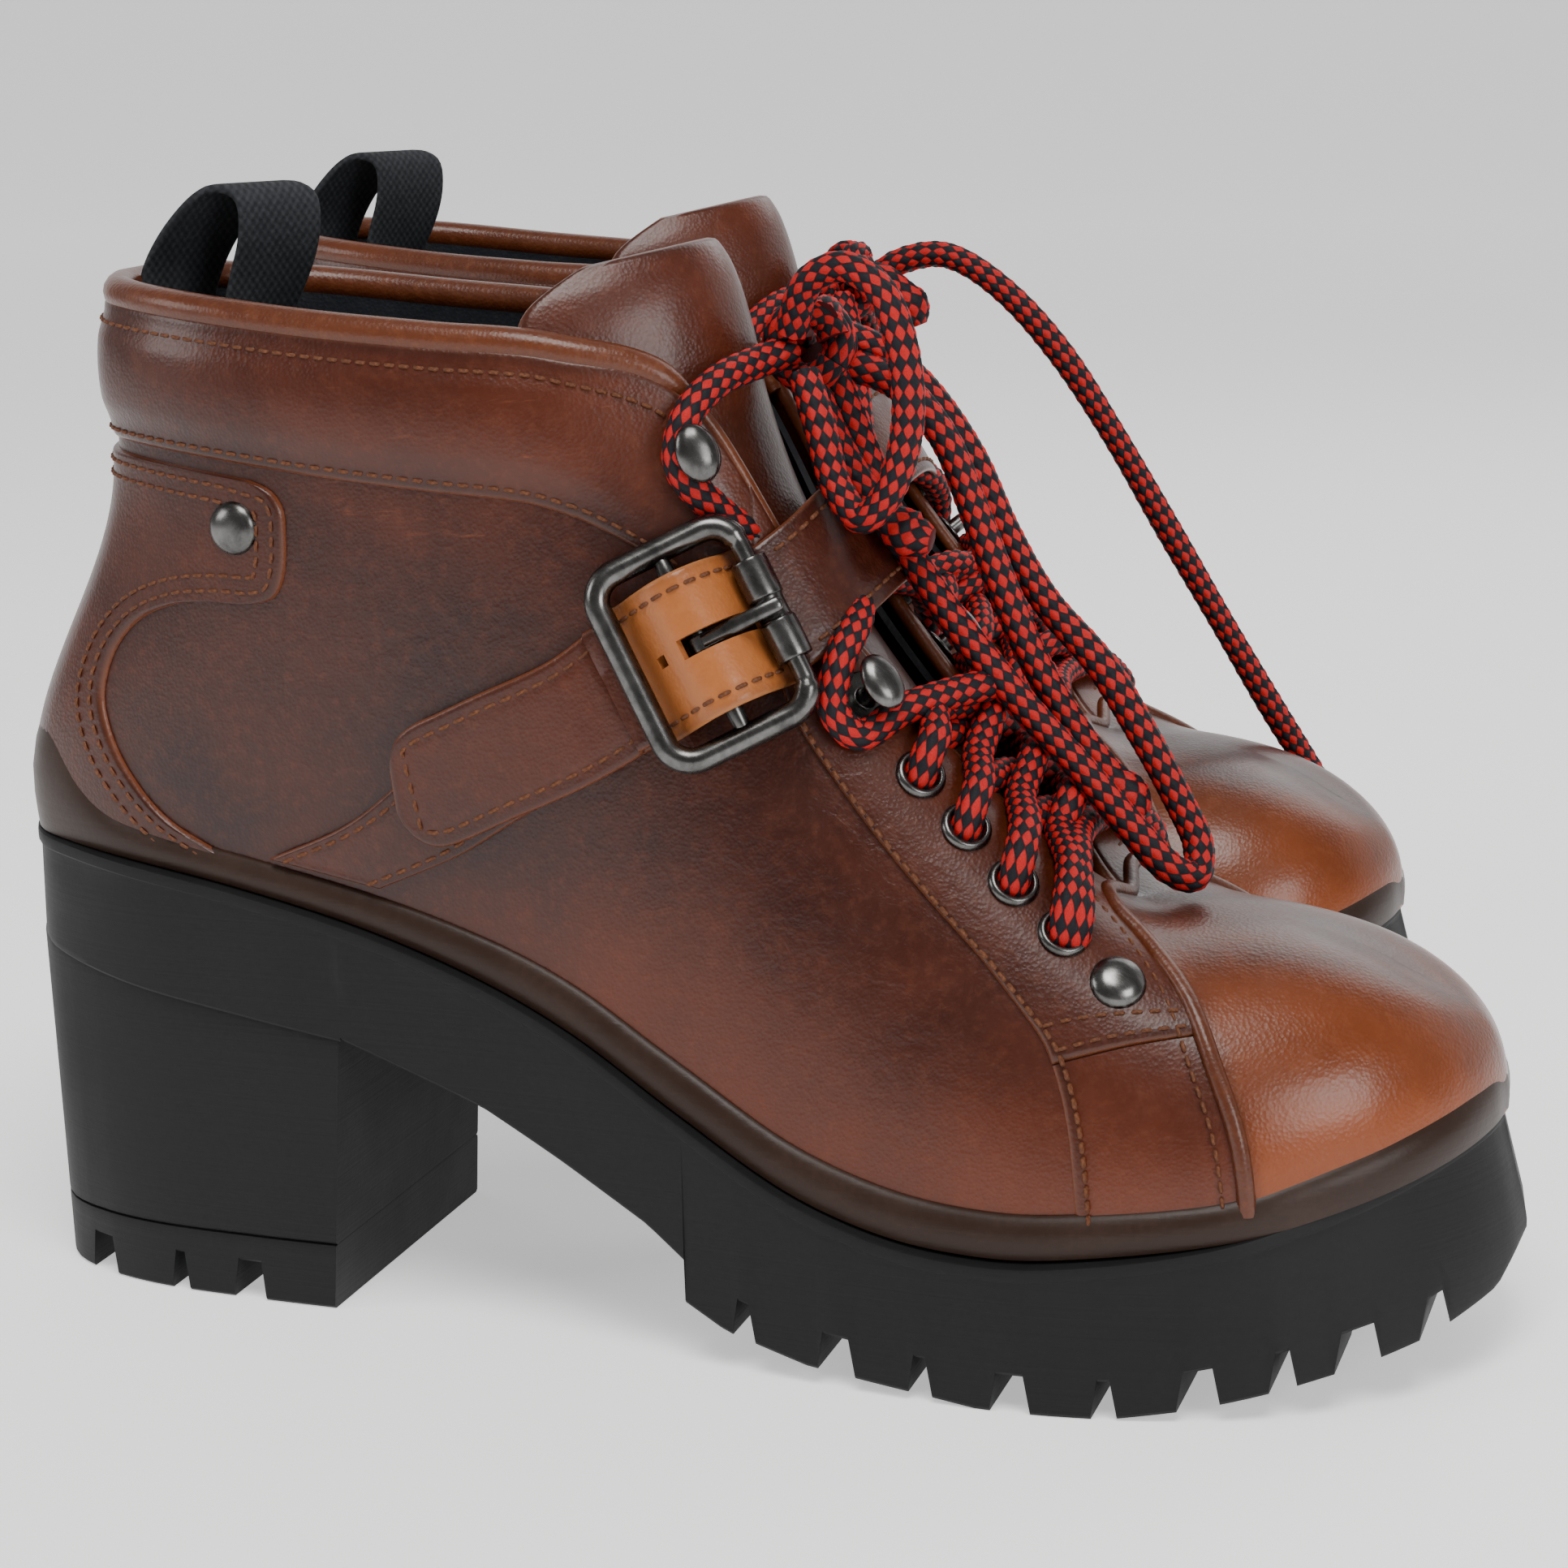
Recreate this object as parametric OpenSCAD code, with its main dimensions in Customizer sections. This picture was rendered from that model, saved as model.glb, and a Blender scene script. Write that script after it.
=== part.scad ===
// A pair of heeled leather hiking boots, right and left.
// X points to the toes and Z up. The floor is Z = 0, and the right boot is on the -Y side.
// Every boot module draws the right boot with its centre plane at Y = 0, its outer side
// towards -Y and the back of its heel near X = 0. The left boot is its mirror image.

/* [Pair] */
// Distance between the centre planes of the two boots
boot_gap = 135; // [126:1:160]
// How far the left boot stands behind the right one
stagger = 36; // [0:1:60]

/* [Leather] */
// Thickness of the leather of the upper
leather_t = 1.6; // [1.2:0.1:1.6]
// Thickness of the leather laid over the upper as a second layer
overlay_t = 1.3; // [1.0:0.1:1.3]
// Thickness of the lining
lining_t = 1.2; // [0.8:0.1:1.2]
// Thickness of the rand that runs round the bottom of the upper
rand_t = 2.0; // [1.2:0.1:2.2]
// How far the padded collar stands out
collar_puff = 1.2; // [0.4:0.1:1.6]

/* [Sole] */
// How far the sole stands out from the upper
sole_edge = 4.2; // [3.4:0.1:4.6]
// Depth of the tread
tread_h = 6.5; // [4:0.5:7]
// Height of the top piece under the heel
lift_h = 12; // [9:1:14]

/* [Hardware] */
// Outer diameter of an eyelet
eyelet_d = 9.0; // [8.4:0.1:9.6]
// Diameter of a domed stud
stud_d = 9.6; // [8:0.1:10]
// Diameter of a hook's head
hook_d = 9.4; // [8:0.1:10]

/* [Buckle] */
// Distance between the middles of the buckle's two end bars
bar_gap = 25.6; // [25:0.2:27]
// Outer width of the buckle across the strap
buckle_w = 34; // [33:0.5:36]
// Diameter of the buckle's wire
wire_d = 4.4; // [3.8:0.1:4.4]
// Outer diameter of the roller
roller_d = 6.4; // [5.8:0.1:6.4]
// Width of the strap
strap_w = 22; // [20:0.5:22]

/* [Laces] */
// Diameter of the round lace
lace_d = 5.5; // [4.6:0.1:5.6]

/* [Hidden] */
$fn = 48;
BOOT = ["outsole", "heel_block", "heel_lift", "rand", "insole_board", "footbed", "heel_counter",
        "toe_puff", "toe_cap", "vamp", "eyestays", "quarters", "collar", "counter_panel",
        "tongue", "lining", "base_strap", "billet_strap", "buckle_frame", "buckle_roller",
        "buckle_prong", "eyelets", "lace_hooks", "studs", "pull_loop", "lace"];
RIGHT_CORDS = ["right_loop_short", "right_loop_long", "right_tail_long", "right_tail_short"];
LEFT_CORDS = ["left_loop_front", "left_loop_back", "left_tail_long", "left_tail_short"];

// Colours
BROWN = "#5a3026";
TOE_BROWN = "#7c4229";
TAN = "#b9774a";
RAND_BROWN = "#4a3a33";
RUBBER = "#27272a";
BLACK = "#1b1b20";
METAL = "#85857f";
LACE_RED = "#b02a28";

// ---- The last: one smooth wall from the sole line up to the collar, throat and toe top ----

// Stations from heel to toe. Each holds: share of the way, x of the sole line, half width of
// the sole line outside and inside, x, half width and height of the top line, how domed the
// wall is (0 straight, 1 a full dome), how much it bulges, and how far the top leans inwards.
STATIONS = [
    [0.000,   3.5,  0.0,  0.0,  26.0,  0.0, 180.0, 0.00, 0.0, 0.0],
    [0.030,   5.5, 10.0, 10.0,  28.0, 11.0, 180.0, 0.00, 1.0, 0.0],
    [0.070,  13.0, 19.5, 19.5,  34.5, 21.5, 179.3, 0.00, 1.5, 0.0],
    [0.130,  31.0, 26.5, 26.5,  52.0, 30.0, 177.5, 0.00, 2.0, 0.0],
    [0.210,  57.0, 29.5, 28.5,  76.0, 33.0, 174.8, 0.00, 2.0, 0.0],
    [0.290,  85.0, 31.0, 28.0,  98.0, 33.0, 172.8, 0.05, 2.0, 0.0],
    [0.370, 112.0, 33.5, 29.0, 120.0, 30.0, 170.5, 0.15, 2.0, 0.0],
    [0.450, 137.0, 37.5, 31.5, 139.5, 21.5, 162.5, 0.30, 1.5, 0.0],
    [0.530, 161.0, 41.5, 36.0, 158.5, 17.0, 130.5, 0.50, 1.0, 0.0],
    [0.600, 184.0, 44.5, 40.0, 175.5, 13.5, 108.0, 0.65, 0.5, 0.0],
    [0.670, 206.0, 45.5, 42.5, 193.5, 10.5,  89.0, 0.80, 0.0, 0.0],
    [0.745, 232.0, 41.5, 42.5, 208.0,  0.0,  75.0, 1.00, 0.0, 0.0],
    [0.810, 247.0, 34.5, 39.0, 222.0,  0.0,  73.5, 1.00, 0.0, 0.0],
    [0.870, 258.5, 25.5, 32.0, 236.0,  0.0,  71.5, 1.00, 0.0, 0.0],
    [0.920, 266.0, 15.5, 23.0, 247.5,  0.0,  68.0, 1.00, 0.0, 0.5],
    [0.965, 270.5,  5.5, 13.0, 255.0,  0.0,  64.0, 1.00, 0.0, 1.5],
    [1.000, 272.0, -3.0,  3.0, 260.5,  0.0,  61.0, 1.00, 0.0, 2.5],
];
// The sole line seen from the side: x and height
FEATHER = [[0, 83], [20, 82], [47, 78.5], [75, 72.5], [100, 64.5], [120, 55.5], [140, 43.5],
           [160, 32.5], [178, 27], [195, 25.5], [210, 26.5], [235, 30], [255, 35], [276, 42]];
// Share of the wall that the rand covers, at each station
RAND_SHARE = [0.25, 0.24, 0.18, 0.06, 0.05, 0.06, 0.06, 0.05, 0.05, 0.05, 0.06, 0.07, 0.10,
              0.14, 0.19, 0.26, 0.30];
DOME = 0.85;     // power that squares the dome of the toe
THROAT_END = 11; // station where the toe cap starts
LAST = len(STATIONS) - 1;
ROWS = 10;       // bands from the sole line to the top line

function seg(tab, s, k = 0) = k < len(tab) - 2 && s > tab[k + 1][0] ? seg(tab, s, k + 1) : k;
function slope(tab, k) =
    let (a = max(k - 1, 0), b = min(k + 1, len(tab) - 1))
    (tab[b] - tab[a]) / (tab[b][0] - tab[a][0]);
// A row of the table at s, on a smooth curve through its rows
function smooth_row(tab, s) =
    let (k = seg(tab, s), a = tab[k], b = tab[k + 1], h = b[0] - a[0], t = (s - a[0]) / h)
    a * (2 * t^3 - 3 * t^2 + 1) + slope(tab, k) * (h * (t^3 - 2 * t^2 + t))
    + b * (3 * t^2 - 2 * t^3) + slope(tab, k + 1) * (h * (t^3 - t^2));
function ease(t) = let (c = min(max(t, 0), 1)) c * c * (3 - 2 * c);
function unit(v) = v / norm(v);

// A point of the wall: side -1 is outside and 1 inside, u runs heel to toe, v sole to top
function wall(side, u, v) =
    let (r = smooth_row(STATIONS, u),
         low = smooth_row(FEATHER, r[1])[1],
         dome = r[7],
         rise = sin(90 * v) ^ DOME,
         fall = v >= 1 ? 0 : cos(90 * v) ^ DOME,
         k = (1 - dome) * (1 - v) + dome * fall,
         travel = (1 - dome) * v + dome * (1 - fall),
         back = 1 - ease((u - 0.1) / 0.35),
         half_top = max(r[5], 0),
         half = half_top + ((side < 0 ? r[2] : r[3]) - half_top) * k + r[8] * sin(180 * v))
    [r[1] + (r[4] - r[1]) * (back * ease((v - 0.07) / 0.64) + (1 - back) * travel),
     side * half + r[9] * (1 - k),
     low + (r[6] - low) * ((1 - dome) * v + dome * rise)];
function wall_normal(side, u, v) =
    let (e = 0.01, a = v > 0.5 ? v - e : v, b = v > 0.5 ? v : v + e)
    unit(side * cross(wall(side, u, b) - wall(side, u, a),
                      wall(side, min(u + e, 1), v) - wall(side, max(u - e, 0), v)));
// A point at height h above the wall
function over_wall(side, u, v, h) = wall(side, u, v) + h * wall_normal(side, u, v);

// The shared grid: columns -LAST..LAST run from the toe round the outside to the heel
// and back along the inside to the toe, and rows run from the sole line to the top line.
// With an open throat, the column at the toe cap stops just short of the centre line.
function row_share(k, j, open) =
    let (top = open && k == THROAT_END ? 0.94 : 1)
    j == 0 ? 0 : RAND_SHARE[k] + (top - RAND_SHARE[k]) * (j - 1) / (ROWS - 1);
function grid_of(open) =
    [for (i = [-LAST:LAST]) [for (j = [0:ROWS])
        wall(i < 0 ? -1 : 1, STATIONS[abs(i)][0], row_share(abs(i), j, open))]];
GRID = grid_of(false);
GRID_OPEN = grid_of(true);
function at(g, i, j) = g[i + LAST][j];
// The neighbours of a grid point along the ring and up the wall, across the toe's centre line
function next_i(i) = i == LAST ? 1 - LAST : i + 1;
function prev_i(i) = i == -LAST ? LAST - 1 : i - 1;
function above(g, i, j) =
    j < ROWS ? at(g, i, j + 1)
    : abs(i) >= THROAT_END && abs(i) < LAST && g == GRID ? at(g, -i, ROWS - 1) : at(g, i, j);
function normal_at(g, i, j) =
    let (jj = abs(i) == LAST ? min(j, ROWS - 1) : j,
         up = above(g, i, j) - at(g, i, max(j - 1, 0)),
         along = at(g, next_i(i), jj) - at(g, prev_i(i), jj))
    unit(cross(up, along));
NORMALS = [for (i = [-LAST:LAST]) [for (j = [0:ROWS]) normal_at(GRID, i, j)]];
NORMALS_OPEN = [for (i = [-LAST:LAST]) [for (j = [0:ROWS]) normal_at(GRID_OPEN, i, j)]];

// A panel of the wall: the cells for which pick(station, row, side) is true, as one solid
// between the heights t0 and t1 over the wall
module wall_panel(pick, t0, t1, open = false) {
    g = open ? GRID_OPEN : GRID;
    n = open ? NORMALS_OPEN : NORMALS;
    count = (2 * LAST + 1) * (ROWS + 1);
    pts = [for (t = [t1, t0]) for (i = [0:2 * LAST]) for (j = [0:ROWS]) g[i][j] + t * n[i][j]];
    function id(i, j) = (i + LAST) * (ROWS + 1) + j;
    function cell(i, j) =
        j >= 0 && j < ROWS && pick(i < 0 ? -i - 1 : i, j, i < 0 ? -1 : 1);
    function cell_above(i, j) =
        j < ROWS - 1 ? cell(i, j + 1)
        : !open && (i < 0 ? -i - 1 : i) >= THROAT_END && cell(-i - 1, ROWS - 1);
    function edge(a, b) = [[b, a, a + count], [b, a + count, b + count]];
    faces = [for (i = [-LAST:LAST - 1]) for (j = [0:ROWS - 1]) if (cell(i, j))
        let (a = id(i, j), b = id(i + 1, j), c = id(i + 1, j + 1), d = id(i, j + 1),
             right = i + 1 == LAST ? -LAST : i + 1,
             left = i == -LAST ? LAST - 1 : i - 1)
        each concat(
            [[a, b, c], [a, c, d]],
            [[c + count, b + count, a + count], [d + count, c + count, a + count]],
            cell(i, j - 1) ? [] : edge(a, b),
            cell(right, j) ? [] : edge(b, c),
            cell_above(i, j) ? [] : edge(c, d),
            cell(left, j) ? [] : edge(d, a))];
    polyhedron(points = pts, faces = faces);
}

// A closed solid between two equal grids of points, outer and inner
module sheet(outer, inner) {
    rows = len(outer);
    cols = len(outer[0]);
    count = rows * cols;
    pts = concat([for (r = outer) each r], [for (r = inner) each r]);
    function id(i, j) = i * cols + j;
    function edge(a, b) = [[b, a, a + count], [b, a + count, b + count]];
    faces = [for (i = [0:rows - 2]) for (j = [0:cols - 2])
        let (a = id(i, j), b = id(i + 1, j), c = id(i + 1, j + 1), d = id(i, j + 1))
        each concat(
            [[a, b, c], [a, c, d]],
            [[c + count, b + count, a + count], [d + count, c + count, a + count]],
            j > 0 ? [] : edge(a, b),
            i < rows - 2 ? [] : edge(b, c),
            j < cols - 2 ? [] : edge(c, d),
            i > 0 ? [] : edge(d, a))];
    polyhedron(points = pts, faces = faces);
}

// A grid of points moved by t along the normals of the surface it makes
function pushed(g, t) = [for (i = [0:len(g) - 1]) [for (j = [0:len(g[0]) - 1])
    let (i0 = max(i - 1, 0), i1 = min(i + 1, len(g) - 1),
         j0 = max(j - 1, 0), j1 = min(j + 1, len(g[0]) - 1))
    g[i][j] + t * unit(cross(g[i1][j] - g[i0][j], g[i][j1] - g[i][j0]))]];

// Places its children on the wall, with Z along the wall's normal
module on_wall(side, u, v, h) {
    p = over_wall(side, u, v, h);
    n = wall_normal(side, u, v);
    translate(p) rotate([0, acos(n[2]), atan2(n[1], n[0])]) children();
}

// ---- Sole ----

// The outline of the sole at a distance out from the sole line, seen from above
function outline_point(i, out) =
    let (p = at(GRID, i, 0), a = at(GRID, prev_i(i), 0), b = at(GRID, next_i(i), 0),
         d = unit([b[0] - a[0], b[1] - a[1]]))
    [p[0] - out * d[1], p[1] + out * d[0]];
function outline(out) = [for (i = [-LAST:LAST - 1]) outline_point(i, out)];
SOLE_TOP = [for (p = FEATHER) [p[0], p[1] - 0.6]];
// The lowest line of the tread, from the toe back to the waist, and on up to the heel
TREAD_LINE = [[279, 24], [276.5, 20], [273, 14], [263.5, 10], [252.5, 7.2], [241.5, 4.8],
              [227, 1.8], [215, 0], [193, 0], [183, 1.2], [163, 3.2], [148, 7], [140, 11]];
WAIST_LINE = [[141.5, 18], [133.5, 24], [117.5, 33], [102.5, 41], [94.5, 44], [75, 51]];
HEEL_SEAT = [[75, 50.6], [-4, 62.6]];
// Grooves between the lugs of the front: x, width and floor of the groove at its edge
GROOVES = [[151.5, 2.4, 5.8], [168.5, 5, 2.4], [183.5, 2.4, 1.2], [199, 5, 0], [214.5, 2.4, 0],
           [229.5, 5, 1.6], [242.5, 2.4, 5], [253.5, 5, 7.4], [264.5, 2.4, 10.4]];

// A side profile drawn in X and Z, made as wide as the boot
module side_cut(points, half = 60) {
    rotate([90, 0, 0]) linear_extrude(height = 2 * half, center = true) polygon(points);
}

module tread_grooves() {
    for (g = GROOVES) {
        side_cut([[g[0] - g[1] / 2 - 0.8, g[2] - 4], [g[0] + g[1] / 2 + 0.8, g[2] - 4],
                  [g[0] + g[1] / 2, g[2] + tread_h], [g[0] - g[1] / 2, g[2] + tread_h]]);
    }
    // Two channels along the sole, between the edge lugs and the middle lugs
    intersection() {
        side_cut(concat([for (p = TREAD_LINE) [p[0], p[1] + tread_h]], [[139, -5], [280, -5]]));
        for (y = [-17, 17]) translate([0, y - 2, -5]) cube([280, 4, 60]);
    }
}

module outsole() {
    color(RUBBER) difference() {
        intersection() {
            linear_extrude(height = 90) polygon(outline(sole_edge));
            side_cut(concat([[-4, 82.4]], SOLE_TOP, TREAD_LINE, WAIST_LINE, HEEL_SEAT));
        }
        tread_grooves();
    }
}

// The heel between two heights, leaning a little forward at the back as it goes down
module heel_slice(z0, z1) {
    module slice(z) {
        lean = 1.5 * (1 - z / 62);
        translate([lean, 0, z]) linear_extrude(height = 0.01) intersection() {
            polygon([for (p = outline(1.6)) [p[0], p[1] * (1 + 0.03 * (1 - z / 62))]]);
            translate([-10, -60]) square([74 + 2.5 * z / 62 - lean + 6, 120]);
        }
    }
    hull() {
        slice(z0);
        slice(z1);
    }
}

module heel_block() {
    color(RUBBER) intersection() {
        heel_slice(lift_h + 0.1, 66);
        side_cut([[-6, 0], [80, 0], [80, 49.4], [-6, 62.4]]);
    }
}

module heel_lift() {
    color(RUBBER) difference() {
        heel_slice(0, lift_h);
        for (g = [[19.5, 5.5], [39.5, 2.4], [55.5, 5.5]]) {
            side_cut([[g[0] - g[1] / 2 - 0.6, -1], [g[0] + g[1] / 2 + 0.6, -1],
                      [g[0] + g[1] / 2, 7], [g[0] - g[1] / 2, 7]]);
        }
    }
}

module rand() {
    color(RAND_BROWN) wall_panel(function (k, j, s) j == 0, 0, rand_t);
}

// A flat layer inside the boot, following the sole line, between two heights over it
module inner_layer(inset, z0, z1, first, last) {
    function rim(k, side, z) =
        let (p = at(GRID, side * k, 0) - inset * unit_flat(at(NORMALS, side * k, 0)))
        [p[0], p[1], smooth_row(FEATHER, p[0])[1] + z];
    function unit_flat(n) = unit([n[0], n[1], 0]);
    function layer(z) = [for (k = [first:last])
        let (a = rim(k, -1, z), b = rim(k, 1, z)) [for (t = [0:0.25:1]) a + (b - a) * t]];
    sheet(layer(z0), layer(z1));
}

// The board under the foot, with the steel shank riveted below its waist
module insole_board() {
    color("#8a7a5c") inner_layer(leather_t + 3.3, 0.2, 2.4, 1, LAST - 1);
    color(METAL) side_strip([[60, 0], [100, 0], [128, 0]], 14, -0.5, 0.3);
}
module side_strip(route, width, z0, z1) {
    function pt(x, y, z) = [x, y, smooth_row(FEATHER, x)[1] + z];
    grid = function (z) [for (x = [56:9:128]) [for (t = [-1, 1]) pt(x, t * width / 2, z)]];
    sheet(grid(z0), grid(z1));
}

module footbed() {
    color("#3a2a24") inner_layer(leather_t + 3.5, 2.6, 6, 1, LAST - 1);
}

// ---- Upper ----

module heel_counter() {
    color("#b7a98c") wall_panel(function (k, j, s) k < 4 && j < 6,
                                -leather_t - 1.3, -leather_t - 0.1);
}

module toe_puff() {
    color("#b7a98c") wall_panel(function (k, j, s) k >= THROAT_END,
                                -leather_t - 1.3, -leather_t - 0.1);
}

module toe_cap() {
    color(TOE_BROWN) wall_panel(function (k, j, s) k >= THROAT_END, -leather_t, 0);
}

// True where a cell of the wall belongs to the vamp, which runs back under the strap
function is_vamp(k, j) =
    k < THROAT_END && (k >= 7 || (k == 6 && j < 5) || (k == 5 && j < 3));

module vamp() {
    color(BROWN) wall_panel(function (k, j, s) is_vamp(k, j), -leather_t, 0, open = true);
}

module quarters() {
    color(BROWN) wall_panel(function (k, j, s) k < 7 && j < 7 && !is_vamp(k, j),
                            -leather_t, 0, open = true);
}

module collar() {
    color(BROWN) wall_panel(function (k, j, s) k < 7 && j >= 7, -leather_t, collar_puff,
                            open = true);
}

module eyestays() {
    color(BROWN) wall_panel(function (k, j, s) k >= 7 && k < THROAT_END && j >= 7,
                            0, overlay_t, open = true);
}

module counter_panel() {
    color(BROWN) wall_panel(function (k, j, s) j > 0 && j < 7 && (k < 2 || (k < 4 && j >= 5)),
                            0, overlay_t);
}

module lining() {
    color(BLACK) wall_panel(function (k, j, s) true, -leather_t - 1.4 - lining_t,
                            -leather_t - 1.4);
}

// Rows of the tongue from toe to top: x and height of its middle, half width, how far its
// sides wrap back, and how far its sides drop
TONGUE = [[205, 66, 9, 2, 0], [190, 81, 11, 3, 1], [173, 101, 14, 5, 2], [158, 122, 17, 9, 2],
          [148, 142, 20, 13, 2], [142.5, 158, 24, 20, 3], [140, 171, 26.5, 26, 4],
          [137, 181, 25, 25, 6], [134, 186, 17, 14, 3]];
tongue_t = 3; // thickness of the padded tongue

module tongue() {
    function pt(r, s) = [r[0] - r[3] * s^2, r[2] * s, r[1] - r[4] * s^2];
    outer = [for (r = TONGUE) [for (s = [-1:0.25:1]) pt(r, s)]];
    color(BROWN) sheet(outer, pushed(outer, tongue_t));
}

// The webbing loop at the back, sewn to the lining inside
PULL_PATH = [[32.3, 148], [32.4, 164], [34.5, 176], [37, 184], [43, 192], [50, 197],
             [55.5, 195.5], [56, 189], [53, 180], [49, 171], [43, 162], [37, 155], [34.2, 148]];
pull_t = 1.6; // thickness of the webbing
pull_w = 16;  // width of the webbing

module pull_loop() {
    function side(i, d) =
        let (a = PULL_PATH[max(i - 1, 0)], b = PULL_PATH[min(i + 1, len(PULL_PATH) - 1)],
             t = unit(b - a))
        PULL_PATH[i] + d * [-t[1], t[0]];
    n = len(PULL_PATH) - 1;
    color(BLACK) side_cut(concat([for (i = [0:n]) side(i, pull_t / 2)],
                                 [for (i = [n:-1:0]) side(i, -pull_t / 2)]), pull_w / 2);
}

// ---- Straps and buckle ----

// The middle of the buckle, on its middle bar, and how the buckle is turned
BUCKLE_AT = [145.5, -35.2, 123.6];
BUCKLE_TURN = [73, -24, 23.5];

module on_buckle() {
    translate(BUCKLE_AT) rotate(BUCKLE_TURN) children();
}

// A strap from rows of [u and v of the lower edge, u and v of the upper edge, height]
function strap_grid(rows, lift) = [for (r = rows) [for (s = [0:0.25:1])
    over_wall(-1, r[0] + (r[2] - r[0]) * s, r[1] + (r[3] - r[1]) * s, r[4] + lift)]];

// The strap sewn to the quarter, folded round the buckle's middle bar
BASE_ROWS = [[0.297, 0.08, 0.212, 0.07, 0.4], [0.343, 0.18, 0.253, 0.17, 0.4],
             [0.372, 0.26, 0.285, 0.277, 0.4], [0.400, 0.34, 0.330, 0.41, 0.4],
             [0.440, 0.43, 0.385, 0.52, 0.4], [0.472, 0.53, 0.430, 0.645, 0.9],
             [0.486, 0.565, 0.447, 0.665, 1.5]];
module base_strap() {
    color(BROWN) sheet(strap_grid(BASE_ROWS, 0), strap_grid(BASE_ROWS, 1.2));
    color(BROWN) on_buckle() for (s = [-1, 1]) translate([0, s * 6.2, 0]) rotate([90, 0, 0])
        difference() {
            cylinder(h = 8, r = 3.2, center = true);
            cylinder(h = 9, r = middle_bar_d / 2 + 0.05, center = true);
        }
}

// The strap that comes over the instep, through the buckle, with its free end behind it
BILLET_ROWS = [[0.294, 0.235, 0.290, 0.285, 2.0], [0.318, 0.190, 0.297, 0.355, 2.0],
               [0.360, 0.27, 0.338, 0.435, 2.0], [0.400, 0.345, 0.378, 0.505, 2.0],
               [0.438, 0.43, 0.402, 0.555, 2.1]];
billet_t = 1.3; // thickness of the strap
// The stretch inside the buckle, as distance along the buckle and height over its bars
ARCH = [[-16.6, -5.9], [-12.8, -4.9], [-9.2, -3.2], [-5.6, 1.0], [-2.8, 3.7], [0.2, 4.5],
        [3.2, 3.6], [6.2, 0.8], [8.2, -2.4], [10.6, -4.5], [13.4, -4.8], [17.5, -4.8]];
// The stretch over the instep: the middle of the strap and the way its width runs
OVER = [[[156.4, -26.0, 128.4], [-0.47, 0.11, 0.87]], [[160.5, -21, 132], [-0.48, 0.1, 0.87]],
        [[163.5, -12, 136], [-0.50, 0.05, 0.86]], [[164.5, 0, 138], [-0.51, 0, 0.86]],
        [[163, 12, 135.5], [-0.50, -0.05, 0.86]], [[159.5, 21, 131], [-0.48, -0.1, 0.87]]];
// Its way down the inner side: u and v of the lower edge, of the upper edge, and height
INNER_ROWS = [[0.535, 0.73, 0.480, 0.86, 2.2], [0.505, 0.60, 0.447, 0.73, 1.4],
              [0.465, 0.49, 0.408, 0.62, 1.0], [0.425, 0.40, 0.365, 0.51, 0.6],
              [0.385, 0.31, 0.320, 0.40, 0.5], [0.345, 0.20, 0.270, 0.27, 0.5],
              [0.318, 0.10, 0.240, 0.12, 0.5]];

module billet_strap() {
    color(TAN) difference() {
        on_buckle() rotate([90, 0, 0]) linear_extrude(height = strap_w - 0.4, center = true)
            arch_profile();
        on_buckle() translate([3.4, 0, 2.5]) cube([12.4, prong_w + 1, 12], center = true);
    }
    color(BROWN) sheet(strap_grid(BILLET_ROWS, 0), strap_grid(BILLET_ROWS, billet_t));
    over = concat(
        [for (r = OVER) [for (t = [-1:0.5:1]) r[0] + strap_w / 2 * t * unit(r[1])]],
        [for (r = INNER_ROWS) [for (s = [0:0.25:1])
            over_wall(1, r[0] + (r[2] - r[0]) * s, r[1] + (r[3] - r[1]) * s, r[4])]]);
    color(BROWN) sheet(over, pushed(over, billet_t));
}
module arch_profile() {
    function lift(i) =
        let (a = ARCH[max(i - 1, 0)], b = ARCH[min(i + 1, len(ARCH) - 1)], t = unit(b - a))
        ARCH[i] + billet_t * [-t[1], t[0]];
    n = len(ARCH) - 1;
    polygon(concat(ARCH, [for (i = [n:-1:0]) lift(i)]));
}

middle_bar_d = 3.6; // diameter of the bar in the middle of the buckle
corner_r = 5;       // bend of the buckle's wire at its corners
module buckle_frame() {
    r = wire_d / 2;
    hx = bar_gap / 2;
    hy = buckle_w / 2 - r;
    color(METAL) on_buckle() {
        for (s = [-1, 1]) {
            translate([s * hx, 0, 0]) rotate([90, 0, 0])
                cylinder(h = 2 * (hy - corner_r), r = r, center = true);
            translate([0, s * hy, 0]) rotate([0, 90, 0])
                cylinder(h = 2 * (hx - corner_r), r = r, center = true);
            for (t = [-1, 1]) translate([s * (hx - corner_r), t * (hy - corner_r), 0])
                rotate([0, 0, s > 0 ? (t > 0 ? 0 : 270) : (t > 0 ? 90 : 180)])
                    rotate_extrude(angle = 90) translate([corner_r, 0]) circle(r = r);
        }
        rotate([90, 0, 0]) cylinder(h = 2 * hy, r = middle_bar_d / 2, center = true);
    }
}

roller_l = 18; // length of the roller
module buckle_roller() {
    color(METAL) on_buckle() translate([bar_gap / 2, 0, 0]) rotate([90, 0, 0]) difference() {
        cylinder(h = roller_l, r = roller_d / 2, center = true);
        cylinder(h = roller_l + 1, r = wire_d / 2 + 0.06, center = true);
        difference() {
            cylinder(h = prong_w + 0.8, r = roller_d, center = true);
            cylinder(h = prong_w + 1, r = roller_d / 2 - 0.5, center = true);
        }
    }
}

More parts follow.
